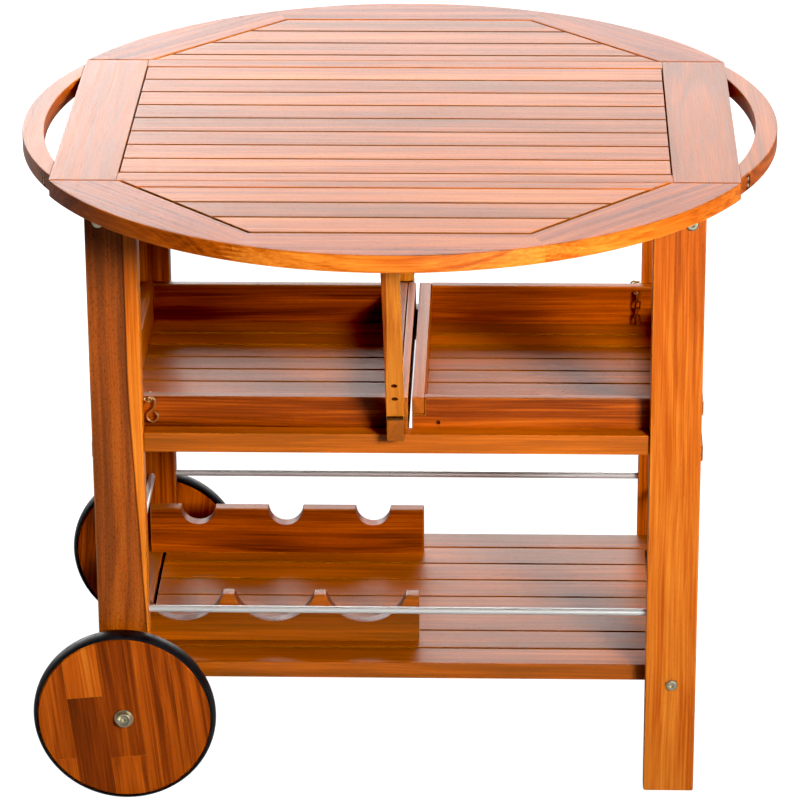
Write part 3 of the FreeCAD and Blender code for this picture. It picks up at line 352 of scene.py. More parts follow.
def oiled_wood(name, timber, sapwood=None, jointed=None):
    """Oiled hardwood that follows each board's own grain.

    sapwood = (edge, bend, slope, line): pale wood right of x = edge, of a sloping line below the
    height bend, and how dark the line between the two is. jointed = (start, slope) of the finger
    joints between a leaf's rim and its wedges.
    """
    material, start, shader = new_finish(name)
    tree = material.node_tree
    place = start.node("TexCoord", {}, {}, "Object")
    x, y, z = place.parts()
    grain = start.attribute("grain", "Vector")
    tone = start.attribute("tone", "Fac")
    end_grain_and_shade = start.attribute("open_grain", "Fac")
    arris = start.attribute("arris", "Fac")
    sway = grain.stretched(*SWAY_SCALE).noise(2.0, out="Color")
    bend = start.node("VectorMath", {"operation": "MULTIPLY_ADD"},
                      {0: sway, 1: (0.0, SWAY, SWAY), 2: (0.0, -SWAY / 2, -SWAY / 2)})
    bent = start.node("VectorMath", {"operation": "ADD"}, {0: grain, 1: bend})
    along, across, through = bent.parts()
    ring = start.math("SQRT", across * across + through * through)
    rings = start.node("CombineXYZ", {}, {0: ring * RING_SCALE, 1: along * ALONG_SCALE,
                                          2: through * THROUGH_SCALE})
    growth = rings.noise(4.0, 0.62)
    fibre = bent.stretched(*FIBRE).noise(3.0, 0.6)
    figure = bent.stretched(*FIGURE).noise(2.0, 0.5)
    pore = grain.stretched(*PORE).noise(1.0, 0.4).clamped(0.58, 0.74)
    line = growth.clamped(0.56, 0.72)
    if jointed:
        first, slope = jointed
        reach = start.math("ABSOLUTE", x) - first - start.math("ABSOLUTE", y) * slope
        finger = start.math("PINGPONG", z, FINGER / 2) * (2 / FINGER) - 0.5
        past = (reach + finger * FINGER_REACH).clamped(-0.0004, 0.0004)
        right = x.clamped(-0.01, 0.01)
        edge_face = (CAD_BOX[1][2] - z).clamped(0.0004, 0.0024)
        step = past * (LEFT_WEDGE - RIM_TONE + right * (RIGHT_WEDGE - LEFT_WEDGE))
        tone = tone + (step + RIM_TONE) * edge_face
    value = 0.5 + tone + (growth - 0.5) * 0.75 + (fibre - 0.5) * 0.6 + (figure - 0.5) * 0.5
    pale = 0.0
    streaks = 0.3
    if sapwood:
        edge, bend_at, slope, dark_line = sapwood
        drop = start.math("MAXIMUM", bend_at - z, 0.0)
        bound = x - edge - drop * slope + (figure - 0.5) * 0.006
        pale = bound.clamped(0.0, 0.0012)
        value = value + pale * 0.3 + (1.0 - pale) * (growth - 0.5) * (0.7 * dark_line)
        streaks = 0.3 + (1.0 - pale) * (0.45 * dark_line)
    tint = value.node("ValToRGB", {"stops": (
        (0.1, timber.dark), (0.34, timber.heart), (0.56, timber.body), (0.9, timber.light))},
        {0: value})
    if sapwood:
        seam = (1.0 - start.math("ABSOLUTE", bound + 0.0006) * 700).clamped(0.0, 1.0)
        tint = tint.blend(rgba(timber.brown), (1.0 - pale) * (dark_line * 0.6))
        speck = grain.stretched(*SPECK).noise(2.0, 0.6).clamped(0.5, 0.64)
        tint = tint.blend(rgba(timber.dark), speck * (1.0 - pale) * (dark_line * 0.7))
        tint = tint.blend(rgba(timber.dark), seam * dark_line)
    tint = tint.blend(rgba(timber.heart), line * 0.35)
    # Pores and end grain darken the wood; the same attribute paints shade into drilled holes and
    # into the gaps between slats.
    depth = pore * (streaks + value.clamped(0.62, 0.3) * 0.3) + end_grain_and_shade * 0.42
    tint = tint.blend(rgba(timber.dark), depth.clamped(0.0, 1.0))
    # Eased edges turn lighter: partly edge wear, partly a painted highlight along the edges.
    tint = tint.blend(rgba(timber.light), arris * 0.16)
    shader.inputs["Specular IOR Level"].default_value = timber.sheen
    wire(tree, tint, shader, "Base Color")
    rough = timber.gloss + (fibre - 0.5) * 0.16 + pore * 0.14 + end_grain_and_shade * 0.12
    wire(tree, rough, shader, "Roughness")
    height = fibre * 0.5 + growth * 0.35 - pore * 0.8
    bump = height.node("Bump", {}, {"Strength": 0.5, "Distance": timber.relief, "Height": height})
    wire(tree, bump, shader, "Normal")
    return material


def worn_metal(name, tint, dull, rough, scale, bare=1.0, scratched=1.0):
    """Plated or drawn metal with duller cloudy patches; bare is how little film lies on it."""
    material, start, shader = new_finish(name)
    tree = material.node_tree
    place = start.node("TexCoord", {}, {}, "Object")
    cloud = place.noise(4.0, 0.6, scale)
    scratch = place.stretched(3.0, 1.0, 1.0).noise(2.0, 0.7, scale * 9)
    wear = (cloud * 0.75 + scratch * (0.25 * scratched)).clamped(0.3, 0.68)
    wire(tree, wear.between(rgba(dull), rgba(tint)), shader, "Base Color")
    uneven = rough + (scratch - 0.5) * (0.25 * scratched) + (1 - wear) * 0.15
    wire(tree, uneven, shader, "Roughness")
    shader.inputs["Metallic"].default_value = bare
    bump = scratch.node("Bump", {}, {"Strength": 0.2 * scratched, "Distance": 0.0001,
                                     "Height": scratch})
    wire(tree, bump, shader, "Normal")
    return material


def tyre_rubber(name, tint):
    """Black rubber with a dusty tread."""
    material, start, shader = new_finish(name)
    tree = material.node_tree
    place = start.node("TexCoord", {}, {}, "Object")
    dust = place.noise(5.0, 0.65, 60.0).clamped(0.45, 0.8)
    fine = place.noise(2.0, 0.6, 900.0)
    wire(tree, (dust * 0.4).between(rgba(tint), rgba(DUST)), shader, "Base Color")
    shader.inputs["Specular IOR Level"].default_value = 0.3
    wire(tree, 0.42 + dust * 0.25 + fine * 0.1, shader, "Roughness")
    bump = fine.node("Bump", {}, {"Strength": 0.25, "Distance": 0.0002, "Height": fine})
    wire(tree, bump, shader, "Normal")
    return material


def finish(name):
    """A finish by name, made the first time it is asked for."""
    made = bpy.data.materials.get(name)
    if made:
        return made
    scene = bpy.context.scene
    timber, metal = scene.cart_timber, scene.cart_metal
    makers = {
        "oiled_hardwood": lambda: oiled_wood(name, timber),
        "leg_with_sapwood": lambda: oiled_wood(name, timber, sapwood=LEG_SAPWOOD),
        "strut_with_heart": lambda: oiled_wood(name, timber, sapwood=STRUT_HEART),
        "finger_jointed": lambda: oiled_wood(name, timber, jointed=seam_line("front_leaf_rim")),
        "drawn_steel": lambda: worn_metal(name, metal.steel, scaled(metal.steel, 0.9), 0.24, 12,
                                          bare=0.55, scratched=0.1),
        "yellow_zinc": lambda: worn_metal(name, metal.zinc, scaled(metal.zinc, 0.55), 0.3, 160),
        "bright_brass": lambda: worn_metal(name, metal.brass, scaled(metal.brass, 0.5), 0.25, 150),
        "dull_bronze": lambda: worn_metal(name, scaled(metal.tarnish, 1.4),
                                          scaled(metal.tarnish, 0.5), 0.4, 120),
        "tyre_rubber": lambda: tyre_rubber(name, metal.rubber),
    }
    return makers[name]()


# ---------------------------------------------------------------- modelling

def pick(*pieces):
    """Leave only these objects selected, the first of them active."""
    bpy.ops.object.select_all(action="DESELECT")
    for piece in pieces:
        piece.select_set(True)
    bpy.context.view_layer.objects.active = pieces[0]


def new_piece(add, **how):
    """A new object from one of Blender's own shapes, selected alone."""
    bpy.ops.object.select_all(action="DESELECT")
    add(**how)
    return bpy.context.object


def settle():
    """Take the place, turn and scale of the selected objects into their meshes."""
    bpy.ops.object.transform_apply(location=True, rotation=True, scale=True)


@contextlib.contextmanager
def editing(piece, kind="FACE"):
    """Edit mode on one piece, with nothing selected."""
    pick(piece)
    bpy.ops.object.mode_set(mode="EDIT")
    bpy.ops.mesh.select_mode(type=kind)
    bpy.ops.mesh.select_all(action="DESELECT")
    yield
    bpy.ops.object.mode_set(mode="OBJECT")


def choose(piece, part, test):
    """Select the points, edges or faces of the edited piece that pass a test."""
    mesh = bmesh.from_edit_mesh(piece.data)
    for item in getattr(mesh, part):
        if test(item):
            item.select_set(True)
    mesh.select_flush_mode()
    bmesh.update_edit_mesh(piece.data)


def cad_copy(node, name):
    """A merged copy of a CAD node with whole flat faces, to work on."""
    pick(frame["nodes"][node])
    bpy.ops.object.duplicate()
    piece = bpy.context.object
    bpy.ops.object.parent_clear(type="CLEAR_KEEP_TRANSFORM")
    for tag in [key for key in piece.keys() if key.startswith("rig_")]:
        del piece[tag]
    piece.name = piece.data.name = name
    piece.data.materials.clear()
    bpy.ops.mesh.customdata_custom_splitnormals_clear()
    with editing(piece):
        bpy.ops.mesh.select_all(action="SELECT")
        bpy.ops.mesh.remove_doubles(threshold=MERGE)
        bpy.ops.mesh.dissolve_limited(angle_limit=FLAT)
    return piece


def ease(piece, width, segments=2, shortest=0.0026, sharp=None):
    """Round over the outside edges of a piece, but for those to stay sharp; mark the new faces."""
    with editing(piece, "EDGE"):
        choose(piece, "edges", lambda edge: len(edge.link_faces) == 2
               and edge.calc_length() > shortest and edge.calc_face_angle_signed(0.0) > SHARP
               and not (sharp and sharp(edge)))
        bpy.ops.mesh.bevel(offset=width, segments=segments, affect="EDGES", clamp_overlap=True)
        mesh = bmesh.from_edit_mesh(piece.data)
        layer = mesh.faces.layers.float.new("arris")
        for face in mesh.faces:
            face[layer] = float(face.select)
        bmesh.update_edit_mesh(piece.data)
    return piece


def shade(piece):
    """Smooth shading that keeps flat faces flat."""
    pick(piece)
    bpy.ops.object.shade_smooth_by_angle(angle=SMOOTH)
    bpy.ops.object.modifier_add(type="WEIGHTED_NORMAL")
    piece.modifiers[-1].keep_sharp = True
    bpy.ops.object.modifier_apply(modifier=piece.modifiers[-1].name)
    return piece


def points_of(mesh):
    """The points of a mesh, one row each."""
    places = np.zeros(len(mesh.vertices) * 3)
    mesh.vertices.foreach_get("co", places)
    return places.reshape(-1, 3)


def keep_inside(piece, node):
    """Pull back the few points that easing pushed past the box of the node."""
    places = np.clip(points_of(piece.data), *(np.array(corner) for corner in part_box(node)))
    piece.data.vertices.foreach_set("co", places.ravel())
    piece.data.update()
    return piece


def boards_of(mesh):
    """The separate boards of a mesh, as lists of vertex numbers."""
    parent = list(range(len(mesh.vertices)))

    def root(i):
        while parent[i] != i:
            parent[i] = parent[parent[i]]
            i = parent[i]
        return i

    for a, b in mesh.edge_keys:
        parent[root(a)] = root(b)
    groups = {}
    for i in range(len(parent)):
        groups.setdefault(root(i), []).append(i)
    return list(groups.values())


def grain_frame(points, lean, run):
    """Directions along, across and through a board: given, by its own lean, or by its box."""
    centred = points - points.mean(axis=0)
    order = np.argsort(np.ptp(points, axis=0))[::-1]
    if run is not None:
        through = np.eye(3)[order[2]]
        return np.array((run, np.cross(through, run), through))
    if lean:
        return np.linalg.eigh(centred.T @ centred)[1][:, ::-1].T
    return np.eye(3)[order]


def lay_grain(piece, tones=(), lean=False, spread=None, run=None, gaps=False):
    """Give every board its own log: a place in the grain, a tone and its dark faces.

    Dark faces are end grain, which is darker wood, and painted shade in drilled holes and, where
    asked for, on the sides in the gaps of slats.
    """
    mesh = piece.data
    draw = random.Random(piece.name)
    spread = bpy.context.scene.cart_timber.spread if spread is None else spread
    places = points_of(mesh)
    grain = np.zeros_like(places)
    tone = np.zeros(len(places))
    runs = np.zeros_like(places)
    boards = sorted(boards_of(mesh), key=lambda b: tuple(np.round(places[b].mean(axis=0), 3)))
    for number, board in enumerate(boards):
        points = places[board]
        axes = grain_frame(points, lean, run)
        shift = np.array((draw.uniform(-9, 9), draw.choice((-1, 1)) * draw.uniform(0.02, 0.08),
                          draw.choice((-1, 1)) * draw.uniform(0.015, 0.09)))
        grain[board] = (points - points.mean(axis=0)) @ axes.T + shift
        level = tones[number % len(tones)] if tones else 0.0
        tone[board] = level + max(-TONE_LIMIT, min(TONE_LIMIT, draw.gauss(0, 1))) * spread
        runs[board] = axes[0]
    mesh.attributes.new("grain", "FLOAT_VECTOR", "POINT").data.foreach_set("vector", grain.ravel())
    mesh.attributes.new("tone", "FLOAT", "POINT").data.foreach_set("value", tone)
    arris = mesh.attributes["arris"].data
    end_grain_and_shade = []
    for face in mesh.polygons:
        corners = [places[i] for i in face.vertices]
        longest = max(np.linalg.norm(a - b) for a, b in zip(corners, corners[1:] + corners[:1]))
        drilled = run is None and longest < DRILLED and not arris[face.index].value
        ended = abs(Vector(runs[face.vertices[0]]).dot(face.normal)) > END_GRAIN
        in_gap = gaps and abs(face.normal.y) > GAP_SIDE
        # Painted shade on the walls of holes and on the sides in gaps; end grain is the wood's own
        # darker tone.
        end_grain_and_shade.append(HOLE_AND_GAP_SHADE if drilled or in_gap else float(ended))
    mesh.attributes.new("open_grain", "FLOAT", "FACE").data.foreach_set("value", end_grain_and_shade)
    return piece


def hand_over(piece, node, material):
    """Give a piece its finish and let it stand for its CAD node on the node's body."""
    piece.data.materials.clear()
    piece.data.materials.append(finish(material))
    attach(piece, BODY_OF[node])
    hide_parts(node)
    return piece


def undercut(piece):
    """Slope the far ends of a leaf's battens back below."""
    places = points_of(piece.data)
    low, far = places[:, 2].min(), np.abs(places[:, 1]).max()
    inwards = -math.copysign(UNDERCUT, places[0, 1])
    with editing(piece, "VERT"):
        choose(piece, "verts",
               lambda vert: vert.co.z < low + MERGE and abs(vert.co.y) > far - MERGE)
        bpy.ops.transform.translate(value=(0.0, inwards, 0.0))


def blind_hole(piece):
    """Leave wood in the drilled hole of a tray's front board."""
    front = points_of(piece.data)[:, 1].min()
    end = new_piece(bpy.ops.mesh.primitive_cylinder_add, vertices=24, radius=HOLE_RADIUS,
                    depth=HOLE_END, location=(TRAY_HOLE[0], front + HOLE_END, TRAY_HOLE[1]),
                    rotation=(QUARTER, 0.0, 0.0))
    settle()
    pick(piece, end)
    bpy.ops.object.join()


def oiled(node, width, tones=(), lean=False, spread=None, material="oiled_hardwood", sharp=None,
          gaps=False, shape=None):
    """Boards of a CAD node with eased edges, grain and oil."""
    piece = cad_copy(node, "oiled_" + node)
    if shape:
        shape(piece)
    keep_inside(ease(piece, width, sharp=sharp), node)
    lay_grain(piece, tones, lean, spread, gaps=gaps)
    return hand_over(shade(piece), node, material)


def fitting(node, material, width, shortest=0.0004):
    """A metal or rubber CAD node with broken edges and its finish."""
    piece = ease(cad_copy(node, "finished_" + node), width, 1, shortest)
    return hand_over(shade(keep_inside(piece, node)), node, material)


def seam_line(rim):
    """Where a rim meets its wedges, as |x| = start + slope * |y|."""
    mesh = frame["nodes"][rim].data
    ends = [mesh.vertices[i].co for face in mesh.polygons for i in face.vertices
            if abs(face.normal.x) > GLUED]
    inner = min(ends, key=lambda p: abs(p.y))
    outer = max(ends, key=lambda p: abs(p.y))
    slope = (abs(outer.x) - abs(inner.x)) / (abs(outer.y) - abs(inner.y))
    return abs(inner.x) - slope * abs(inner.y), slope


def solids_of(node):
    """The lowest and highest corner of every solid of a CAD node."""
    copy = cad_copy(node, "places")
    places = points_of(copy.data)
    boxes = [(places[solid].min(axis=0), places[solid].max(axis=0))
             for solid in boards_of(copy.data)]
    bpy.data.objects.remove(copy)
    return boxes


def turned_bolt(head, height, rounding, shank, reach, dish=0.0):
    """A bolt along Z with the top of its head at zero: rounded head, optional dish, shank."""
    bolt = new_piece(bpy.ops.mesh.primitive_cylinder_add, vertices=48, radius=head, depth=height,
                     location=(0, 0, -height / 2))
    settle()
    with editing(bolt, "EDGE"):
        choose(bolt, "edges", lambda edge: all(abs(v.co.z) < MERGE for v in edge.verts))
        bpy.ops.mesh.bevel(offset=rounding, segments=5, affect="EDGES")
    with editing(bolt):
        choose(bolt, "faces", lambda face: face.normal.z < UNDER_SIDE)
        bpy.ops.mesh.inset(thickness=head - shank)
        bpy.ops.mesh.extrude_region_move(TRANSFORM_OT_translate={"value": (0, 0, height - reach)})
    if dish:
        with editing(bolt):
            choose(bolt, "faces", lambda face: face.normal.z > CROWN)
            bpy.ops.mesh.inset(thickness=dish * DISH_RIM)
            bpy.ops.mesh.extrude_region_move(TRANSFORM_OT_translate={"value": (0, 0, -dish)})
            bpy.ops.transform.resize(value=(DISH_FLOOR, DISH_FLOOR, 1.0),
                                     center_override=(0, 0, 0))
    return bolt


def sunk(bolt, *cutters):
    """Cut the drive of a bolt with the given objects."""
    for cutter in cutters:
        pick(bolt)
        bpy.ops.object.modifier_add(type="BOOLEAN")
        bolt.modifiers[-1].operation = "DIFFERENCE"
        bolt.modifiers[-1].object = cutter
        bpy.ops.object.modifier_apply(modifier=bolt.modifiers[-1].name)
        bpy.data.objects.remove(cutter)
    return bolt


def hex_key(radius, depth, top=0.0):
    """The hexagon that a key leaves in a bolt."""
    return new_piece(bpy.ops.mesh.primitive_cylinder_add, vertices=6, radius=radius,
                     depth=2 * depth, location=(0, 0, top))


def cross_slots(reach, width, depth):
    """The two slots of a cross-head screw."""
    return [new_piece(bpy.ops.mesh.primitive_cube_add, size=2, scale=size)
            for size in ((reach, width, depth), (width, reach, depth))]


def driven_in(master, node, axis, material):
    """Copies of a fastener at the outer end of every solid of a node, joined into one piece."""
    copies = []
    for low, high in solids_of(node):
        side = 1.0 if low[axis] + high[axis] > 0 else -1.0
        pick(master)
        bpy.ops.object.duplicate()
        copy = bpy.context.object
        copy.rotation_euler = ((0.0, side * QUARTER, 0.0) if axis == 0
                               else (-side * QUARTER, 0.0, 0.0))
        copy.location = (low + high) / 2
        copy.location[axis] = high[axis] if side > 0 else low[axis]
        settle()
        copies.append(copy)
    pick(*copies)
    bpy.ops.object.join()
    bpy.data.objects.remove(master)
    piece = copies[0]
    piece.name = piece.data.name = "finished_" + node
    return hand_over(shade(keep_inside(piece, node)), node, material)


# ---------------------------------------------------------------- pieces

class CART_OT_top(bpy.types.Operator):
    """Ease and oil the boards of the fixed top"""
    bl_idname = "cart.top"
    bl_label = "Table top"
    bl_options = {"REGISTER", "UNDO"}

    def execute(self, context):
        edges = context.scene.cart_edges
        oiled("top_end_boards", edges.board)
        oiled("top_side_rails", edges.slat)
        oiled("top_slats", edges.slat, (-0.04,), gaps=True)
        for node in ("top_battens", "top_long_rails", "top_end_rails"):
            oiled(node, edges.board, (-0.1,))
        return {"FINISHED"}


class CART_OT_handles(bpy.types.Operator):
    """Ease and oil the two bowed handles and drive their screws"""
    bl_idname = "cart.handles"
    bl_label = "Handles"
    bl_options = {"REGISTER", "UNDO"}

    def execute(self, context):
        edges = context.scene.cart_edges
        oiled("handle_left", edges.rim)
        oiled("handle_right", edges.rim)
        screw = sunk(turned_bolt(**HANDLE_SCREW), *cross_slots(**SCREW_CROSS))
        driven_in(screw, "handle_screws", 0, "yellow_zinc")
        return {"FINISHED"}


class CART_OT_legs(bpy.types.Operator):
    """Ease and oil the four legs"""
    bl_idname = "cart.legs"
    bl_label = "Legs"
    bl_options = {"REGISTER", "UNDO"}

    def execute(self, context):
        edges = context.scene.cart_edges
        oiled("leg_front_left", edges.leg, (-0.1,), spread=0.0, material="leg_with_sapwood")
        oiled("leg_front_right", edges.leg, (0.14,), spread=0.0)
        oiled("leg_rear_left", edges.leg, (-0.05,))
        oiled("leg_rear_right", edges.leg, (0.02,))
        return {"FINISHED"}


class CART_OT_mid_frame(bpy.types.Operator):
    """Ease and oil the rails and runners that carry the trays"""
    bl_idname = "cart.mid_frame"
    bl_label = "Middle frame"
    bl_options = {"REGISTER", "UNDO"}

    def execute(self, context):
        edges = context.scene.cart_edges
        for node, tone in (("mid_rails", -0.18), ("mid_end_rails", -0.08), ("tray_runners", -0.1),
                           ("centre_divider", -0.05), ("strut_blocks", -0.22)):
            oiled(node, edges.board, (tone,))
        return {"FINISHED"}


class CART_OT_shelf(bpy.types.Operator):
    """Ease and oil the low shelf and its bottle racks"""
    bl_idname = "cart.shelf"
    bl_label = "Shelf and bottle racks"
    bl_options = {"REGISTER", "UNDO"}

    def execute(self, context):
        edges = context.scene.cart_edges
        for node, tone in (("shelf_rails", -0.14), ("shelf_end_rails", -0.12),
                           ("shelf_bearers", -0.1), ("bottle_rack_front", -0.19),
                           ("bottle_rack_rear", -0.1)):
            oiled(node, edges.board, (tone,))
        oiled("shelf_slats", edges.slat, (-0.26, -0.16, -0.12, -0.1, -0.1, -0.1), gaps=True)
        return {"FINISHED"}


class CART_OT_guard_rods(bpy.types.Operator):
    """Polish the steel guard rods"""
    bl_idname = "cart.guard_rods"
    bl_label = "Guard rods"
    bl_options = {"REGISTER", "UNDO"}

    def execute(self, context):
        edges = context.scene.cart_edges
        for node in ("guard_rods_long", "guard_rods_side"):
            fitting(node, "drawn_steel", edges.metal)
        return {"FINISHED"}


class CART_OT_bolts(bpy.types.Operator):
    """Finish the leg bolts and the axle bolts"""
    bl_idname = "cart.bolts"
    bl_label = "Bolts"
    bl_options = {"REGISTER", "UNDO"}

    def execute(self, context):
        leg_bolt = sunk(turned_bolt(**LEG_BOLT), hex_key(**LEG_KEY))
        driven_in(leg_bolt, "leg_bolts", 1, "yellow_zinc")
        axle = sunk(turned_bolt(**AXLE_BOLT), hex_key(**AXLE_KEY))
        driven_in(axle, "axle_bolts", 1, "yellow_zinc")
        fitting("axle_hardware", "yellow_zinc", context.scene.cart_edges.metal)
        return {"FINISHED"}


def wheel_block(disc, block, side, width, shift):
    """One glued block of a wheel disc, cut from a copy of it."""
    left, right, low, high, tone = block
    centre = sum((Vector(corner) for corner in disc["box"]), Vector()) / 2
    across = Vector((side * math.cos(WHEEL_LEAN), 0.0, math.sin(WHEEL_LEAN)))
    up = Vector((-side * math.sin(WHEEL_LEAN), 0.0, math.cos(WHEEL_LEAN)))
    pick(disc)
    bpy.ops.object.duplicate()
    piece = bpy.context.object
    with editing(piece):
        for line, place, keep_above in ((across, left, True), (across, right, False),
                                        (up, low, True), (up, high, False)):
            if abs(place) < RIM:
                bpy.ops.mesh.select_all(action="SELECT")
                bpy.ops.mesh.bisect(plane_co=centre + line * place, plane_no=line, use_fill=True,
                                    clear_inner=keep_above, clear_outer=not keep_above)
    ease(piece, width, 1, GLUE_LINE,
         lambda edge: abs(edge.verts[0].co.y - edge.verts[1].co.y) > MERGE)
    # shift lowers the tone of every block; on the rear wheel it is painted shade.
    return lay_grain(piece, (tone + shift,), spread=0.0, run=np.array(up))


class CART_OT_wheels(bpy.types.Operator):
    """Glue the wheel discs from blocks, oil them and fit their tyres"""
    bl_idname = "cart.wheels"
    bl_label = "Wheels"
    bl_options = {"REGISTER", "UNDO"}

    def execute(self, context):
        edges = context.scene.cart_edges
        # The rear wheel's blocks sit 0.12 darker: painted shade, as the rear wheel stands in the
        # cart's shade.
        for name, side, shift in (("front", 1, 0.0), ("rear", -1, -0.12)):
            node = name + "_wheel_disc"
            disc = cad_copy(node, "disc_" + name)
            disc["box"] = [list(corner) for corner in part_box(node)]
            blocks = [wheel_block(disc, block, side, edges.glue, shift) for block in WHEEL_BLOCKS]
            bpy.data.objects.remove(disc)
            pick(*blocks)
            bpy.ops.object.join()
            piece = blocks[0]
            piece.name = piece.data.name = "oiled_" + node
            hand_over(shade(keep_inside(piece, node)), node, "oiled_hardwood")
            fitting(name + "_wheel_tyre", "tyre_rubber", edges.metal)
        return {"FINISHED"}


class CART_OT_leaves(bpy.types.Operator):
    """Ease and oil the two drop leaves"""
    bl_idname = "cart.leaves"
    bl_label = "Drop leaves"
    bl_options = {"REGISTER", "UNDO"}

    def execute(self, context):
        edges = context.scene.cart_edges
        for side in ("front", "rear"):
            oiled(side + "_leaf_hinge_rail", edges.slat)
            oiled(side + "_leaf_slats", edges.slat, (-0.04,), gaps=True)
            oiled(side + "_leaf_wedges", edges.rim, lean=True, spread=0.0,
                  material="finger_jointed",
                  sharp=lambda edge: any(map(self.butts_rim, edge.link_faces)))
            oiled(side + "_leaf_rim", edges.rim, spread=0.0, material="finger_jointed",
                  sharp=lambda edge: any(abs(f.normal.x) > GLUED for f in edge.link_faces))
            oiled(side + "_leaf_battens", edges.batten, shape=undercut)
        return {"FINISHED"}

    @staticmethod
    def butts_rim(face):
        """Whether a wedge's face is glued to the rim: it looks inwards in X and outwards in Y."""
        middle = face.calc_center_median()
        return (abs(face.normal.x) > GLUED and face.normal.x * middle.x < 0
                and face.normal.y * middle.y > 0)


class CART_OT_struts(bpy.types.Operator):
    """Ease and oil the struts that hold the leaves up"""
    bl_idname = "cart.struts"
    bl_label = "Struts"
    bl_options = {"REGISTER", "UNDO"}

    def execute(self, context):
        edges = context.scene.cart_edges
        for side in ("front", "rear"):
            oiled(side + "_strut", edges.board, (-0.03,), lean=True, spread=0.0,
                  material="strut_with_heart")
        return {"FINISHED"}


class CART_OT_hinges(bpy.types.Operator):
    """Finish the brass hinges of the leaves and the struts"""
    bl_idname = "cart.hinges"
    bl_label = "Hinges"
    bl_options = {"REGISTER", "UNDO"}

    def execute(self, context):
        edges = context.scene.cart_edges
        # The hinges take a dark bronze that paints the shade of the seams.
        for node in ("hinge_plates", "hinge_pins", "front_leaf_hinge_flaps",
                     "rear_leaf_hinge_flaps", "front_strut_hinge_flap",
                     "rear_strut_hinge_flap"):
            fitting(node, "dull_bronze", edges.metal)
        return {"FINISHED"}


class CART_OT_trays(bpy.types.Operator):
    """Ease and oil the two tray drawers"""
    bl_idname = "cart.trays"
    bl_label = "Trays"
    bl_options = {"REGISTER", "UNDO"}

    def execute(self, context):
        edges = context.scene.cart_edges
        # The back walls get lower tones than the front walls: painted shade under the top.
        for side, wall_tone_and_shade in (("left", (-0.23, -0.31)), ("right", (0.0, -0.11, -0.13))):
            oiled(side + "_tray_sides", edges.board, wall_tone_and_shade, spread=0.0,
                  shape=blind_hole if side == "right" else None)
            oiled(side + "_tray_ends", edges.board, (-0.12,))
            oiled(side + "_tray_slats", edges.slat, (-0.14,), gaps=True)
        return {"FINISHED"}


class CART_OT_chains(bpy.types.Operator):
    """Finish the brass hooks and the chains of the trays"""
    bl_idname = "cart.chains"
    bl_label = "Hooks and chains"
    bl_options = {"REGISTER", "UNDO"}

    def execute(self, context):
        for node in ("tray_hooks", "left_tray_chain", "right_tray_chain"):
            piece = cad_copy(node, "finished_" + node)
            hand_over(shade(piece), node, "bright_brass")
        return {"FINISHED"}


# ---------------------------------------------------------------- stage

def soft_box(name, watts, size, place, aim, spread=180.0):
    """A large soft light that looks at a point; a grid in front of it may narrow its beam."""
    data = bpy.data.lights.new(name, "AREA")
    data.shape = "RECTANGLE"
    data.size, data.size_y = size
    data.energy = watts
    data.spread = math.radians(spread)
    light = bpy.data.objects.new(name, data)
    bpy.context.scene.collection.objects.link(light)
    turn = (Vector(aim) - Vector(place)).to_track_quat("-Z", "Y")
    light.matrix_world = Matrix.Translation(place) @ turn.to_matrix().to_4x4()
    light.visible_camera = False
    return light


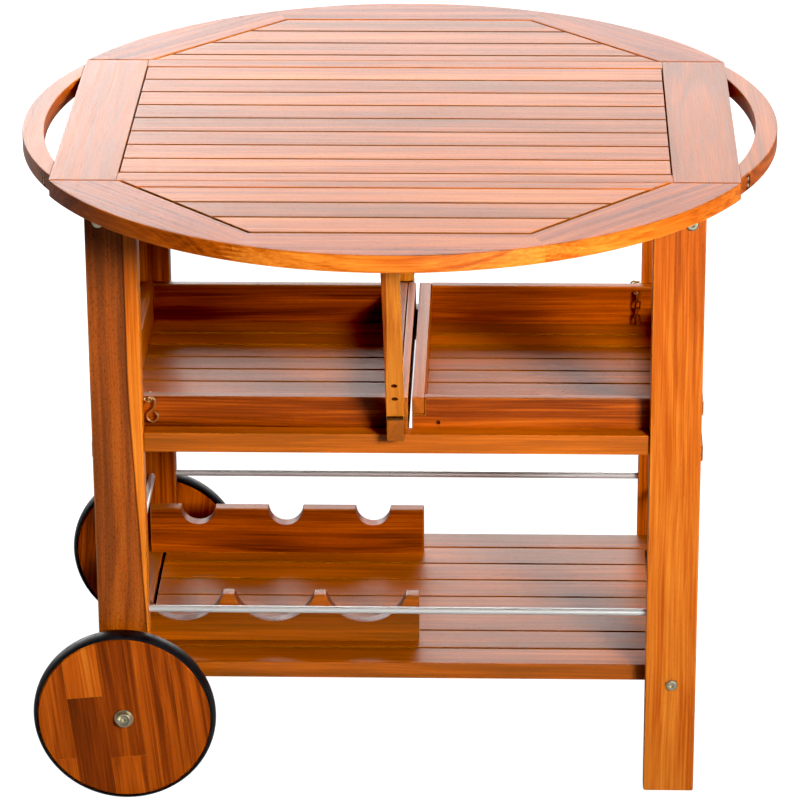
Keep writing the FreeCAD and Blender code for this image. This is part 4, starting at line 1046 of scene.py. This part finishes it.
class CART_OT_stage(bpy.types.Operator):
    """Lay the pale floor and set the lights and the camera"""
    bl_idname = "cart.stage"
    bl_label = "Stage"
    bl_options = {"REGISTER", "UNDO"}

    def execute(self, context):
        stage = context.scene.cart_stage
        self.lay_floor(stage)
        self.light(context.scene, stage)
        self.aim_camera(context.scene, stage)
        return {"FINISHED"}

    def lay_floor(self, stage):
        floor = new_piece(bpy.ops.mesh.primitive_plane_add, size=stage.floor,
                          location=(0, 0, -FLOOR_DROP))
        floor.name = floor.data.name = "studio_floor"
        with editing(floor, "VERT"):
            bpy.ops.mesh.select_all(action="SELECT")
            bpy.ops.mesh.bevel(offset=stage.floor / 4, segments=12, affect="VERTICES")
        settle()
        material, start, shader = new_finish("studio_white")
        place = start.node("TexCoord", {}, {}, "Object")
        shade_of_white = place.noise(3.0, 0.5, 30.0)
        wire(material.node_tree, 0.85 + shade_of_white * 0.1, shader, "Roughness")
        shader.inputs["Base Color"].default_value = rgba(FLOOR_TINT)
        shader.inputs["Specular IOR Level"].default_value = 0.2
        seen = start.node("LightPath", {}, {}, "Is Camera Ray")
        glow = seen.between(rgba(FLOOR_GLOW), rgba(WHITE))
        wire(material.node_tree, glow, shader, "Emission Color")
        shader.inputs["Emission Strength"].default_value = 0.95
        floor.data.materials.append(material)

    def light(self, scene, stage):
        world = bpy.data.worlds.new("studio_sky")
        scene.world = world
        world.use_nodes = True
        sky = world.node_tree.nodes["Background"]
        sky.inputs["Color"].default_value = rgba(WHITE)
        start = Strand(world.node_tree)
        seen = start.node("LightPath", {}, {}, "Is Camera Ray")
        wire(world.node_tree, seen * (1.0 - stage.sky) + stage.sky, sky, "Strength")
        key = soft_box("key_light", stage.key, size=(1.2, 1.2), place=(2.1, -3.6, 2.35),
                       aim=(0.0, 0.0, 0.9), spread=40.0)
        key.visible_glossy = False
        spark = soft_box("spark_light", stage.spark, size=(1.6, 0.5), place=(1.3, -3.2, 0.5),
                         aim=(0.0, 0.0, 0.45))
        spark.visible_diffuse = False
        soft_box("back_light", stage.back, size=(6.0, 2.0), place=(-0.8, 3.6, 1.4),
                 aim=(0.0, 0.0, 0.75))
        soft_box("glare_light", stage.glare, size=(1.7, 1.5), place=(-1.4, 3.4, 1.75),
                 aim=(-0.3, 0.0, 0.75))
        soft_box("top_light", stage.top, size=(2.0, 2.0), place=(0.0, 0.2, 3.4),
                 aim=(0.0, 0.0, 0.7))
        scene.view_settings.view_transform = "Standard"
        scene.view_settings.look = "None"
        scene.view_settings.use_curve_mapping = True
        scene.view_settings.curve_mapping.black_level = (BLACK_LEVEL,) * 3
        scene.view_settings.curve_mapping.update()

    def aim_camera(self, scene, stage):
        yaw, pitch, roll = stage.yaw, stage.pitch, stage.roll
        ahead = Vector((-math.sin(yaw) * math.cos(pitch), math.cos(yaw) * math.cos(pitch),
                        -math.sin(pitch)))
        right = Vector((math.cos(yaw), math.sin(yaw), 0.0))
        up = right.cross(ahead)
        tilted_right = math.cos(roll) * right + math.sin(roll) * up
        tilted_up = math.cos(roll) * up - math.sin(roll) * right
        turn = Matrix((tilted_right, tilted_up, -ahead)).transposed()
        data = bpy.data.cameras.new("photo_camera")
        data.sensor_width = SENSOR
        data.lens = stage.lens
        data.clip_end = FAR_END
        camera = bpy.data.objects.new("photo_camera", data)
        scene.collection.objects.link(camera)
        camera.matrix_world = Matrix.Translation(stage.eye) @ turn.to_4x4()
        scene.camera = camera


# ---------------------------------------------------------------- panel and registration

PIECES = (CART_OT_top, CART_OT_handles, CART_OT_legs, CART_OT_mid_frame, CART_OT_shelf,
          CART_OT_guard_rods, CART_OT_bolts, CART_OT_wheels, CART_OT_leaves, CART_OT_struts,
          CART_OT_hinges, CART_OT_trays, CART_OT_chains, CART_OT_stage)
SETTINGS = {"cart_timber": CartTimber, "cart_edges": CartEdges, "cart_metal": CartMetal,
            "cart_stage": CartStage}


class CART_PT_panel(bpy.types.Panel):
    """Steps of the bar cart"""
    bl_idname = "CART_PT_panel"
    bl_label = "Bar cart"
    bl_space_type = "VIEW_3D"
    bl_region_type = "UI"
    bl_category = "Bar cart"

    def draw(self, context):
        for name, group in SETTINGS.items():
            box = self.layout.box()
            box.label(text=group.__doc__)
            for key in group.__annotations__:
                box.prop(getattr(context.scene, name), key)
        for step in PIECES:
            self.layout.operator(step.bl_idname, text=step.bl_label)


def register():
    for kind in (*SETTINGS.values(), *PIECES, CART_PT_panel):
        bpy.utils.register_class(kind)
    for name, group in SETTINGS.items():
        setattr(bpy.types.Scene, name, PointerProperty(type=group))


def unregister():
    for name in SETTINGS:
        delattr(bpy.types.Scene, name)
    for kind in reversed((*SETTINGS.values(), *PIECES, CART_PT_panel)):
        bpy.utils.unregister_class(kind)


def main():
    register()
    for step in PIECES:
        group, name = step.bl_idname.split(".")
        getattr(getattr(bpy.ops, group), name)()
    bpy.ops.object.select_all(action="DESELECT")


if __name__ == "__main__":
    main()
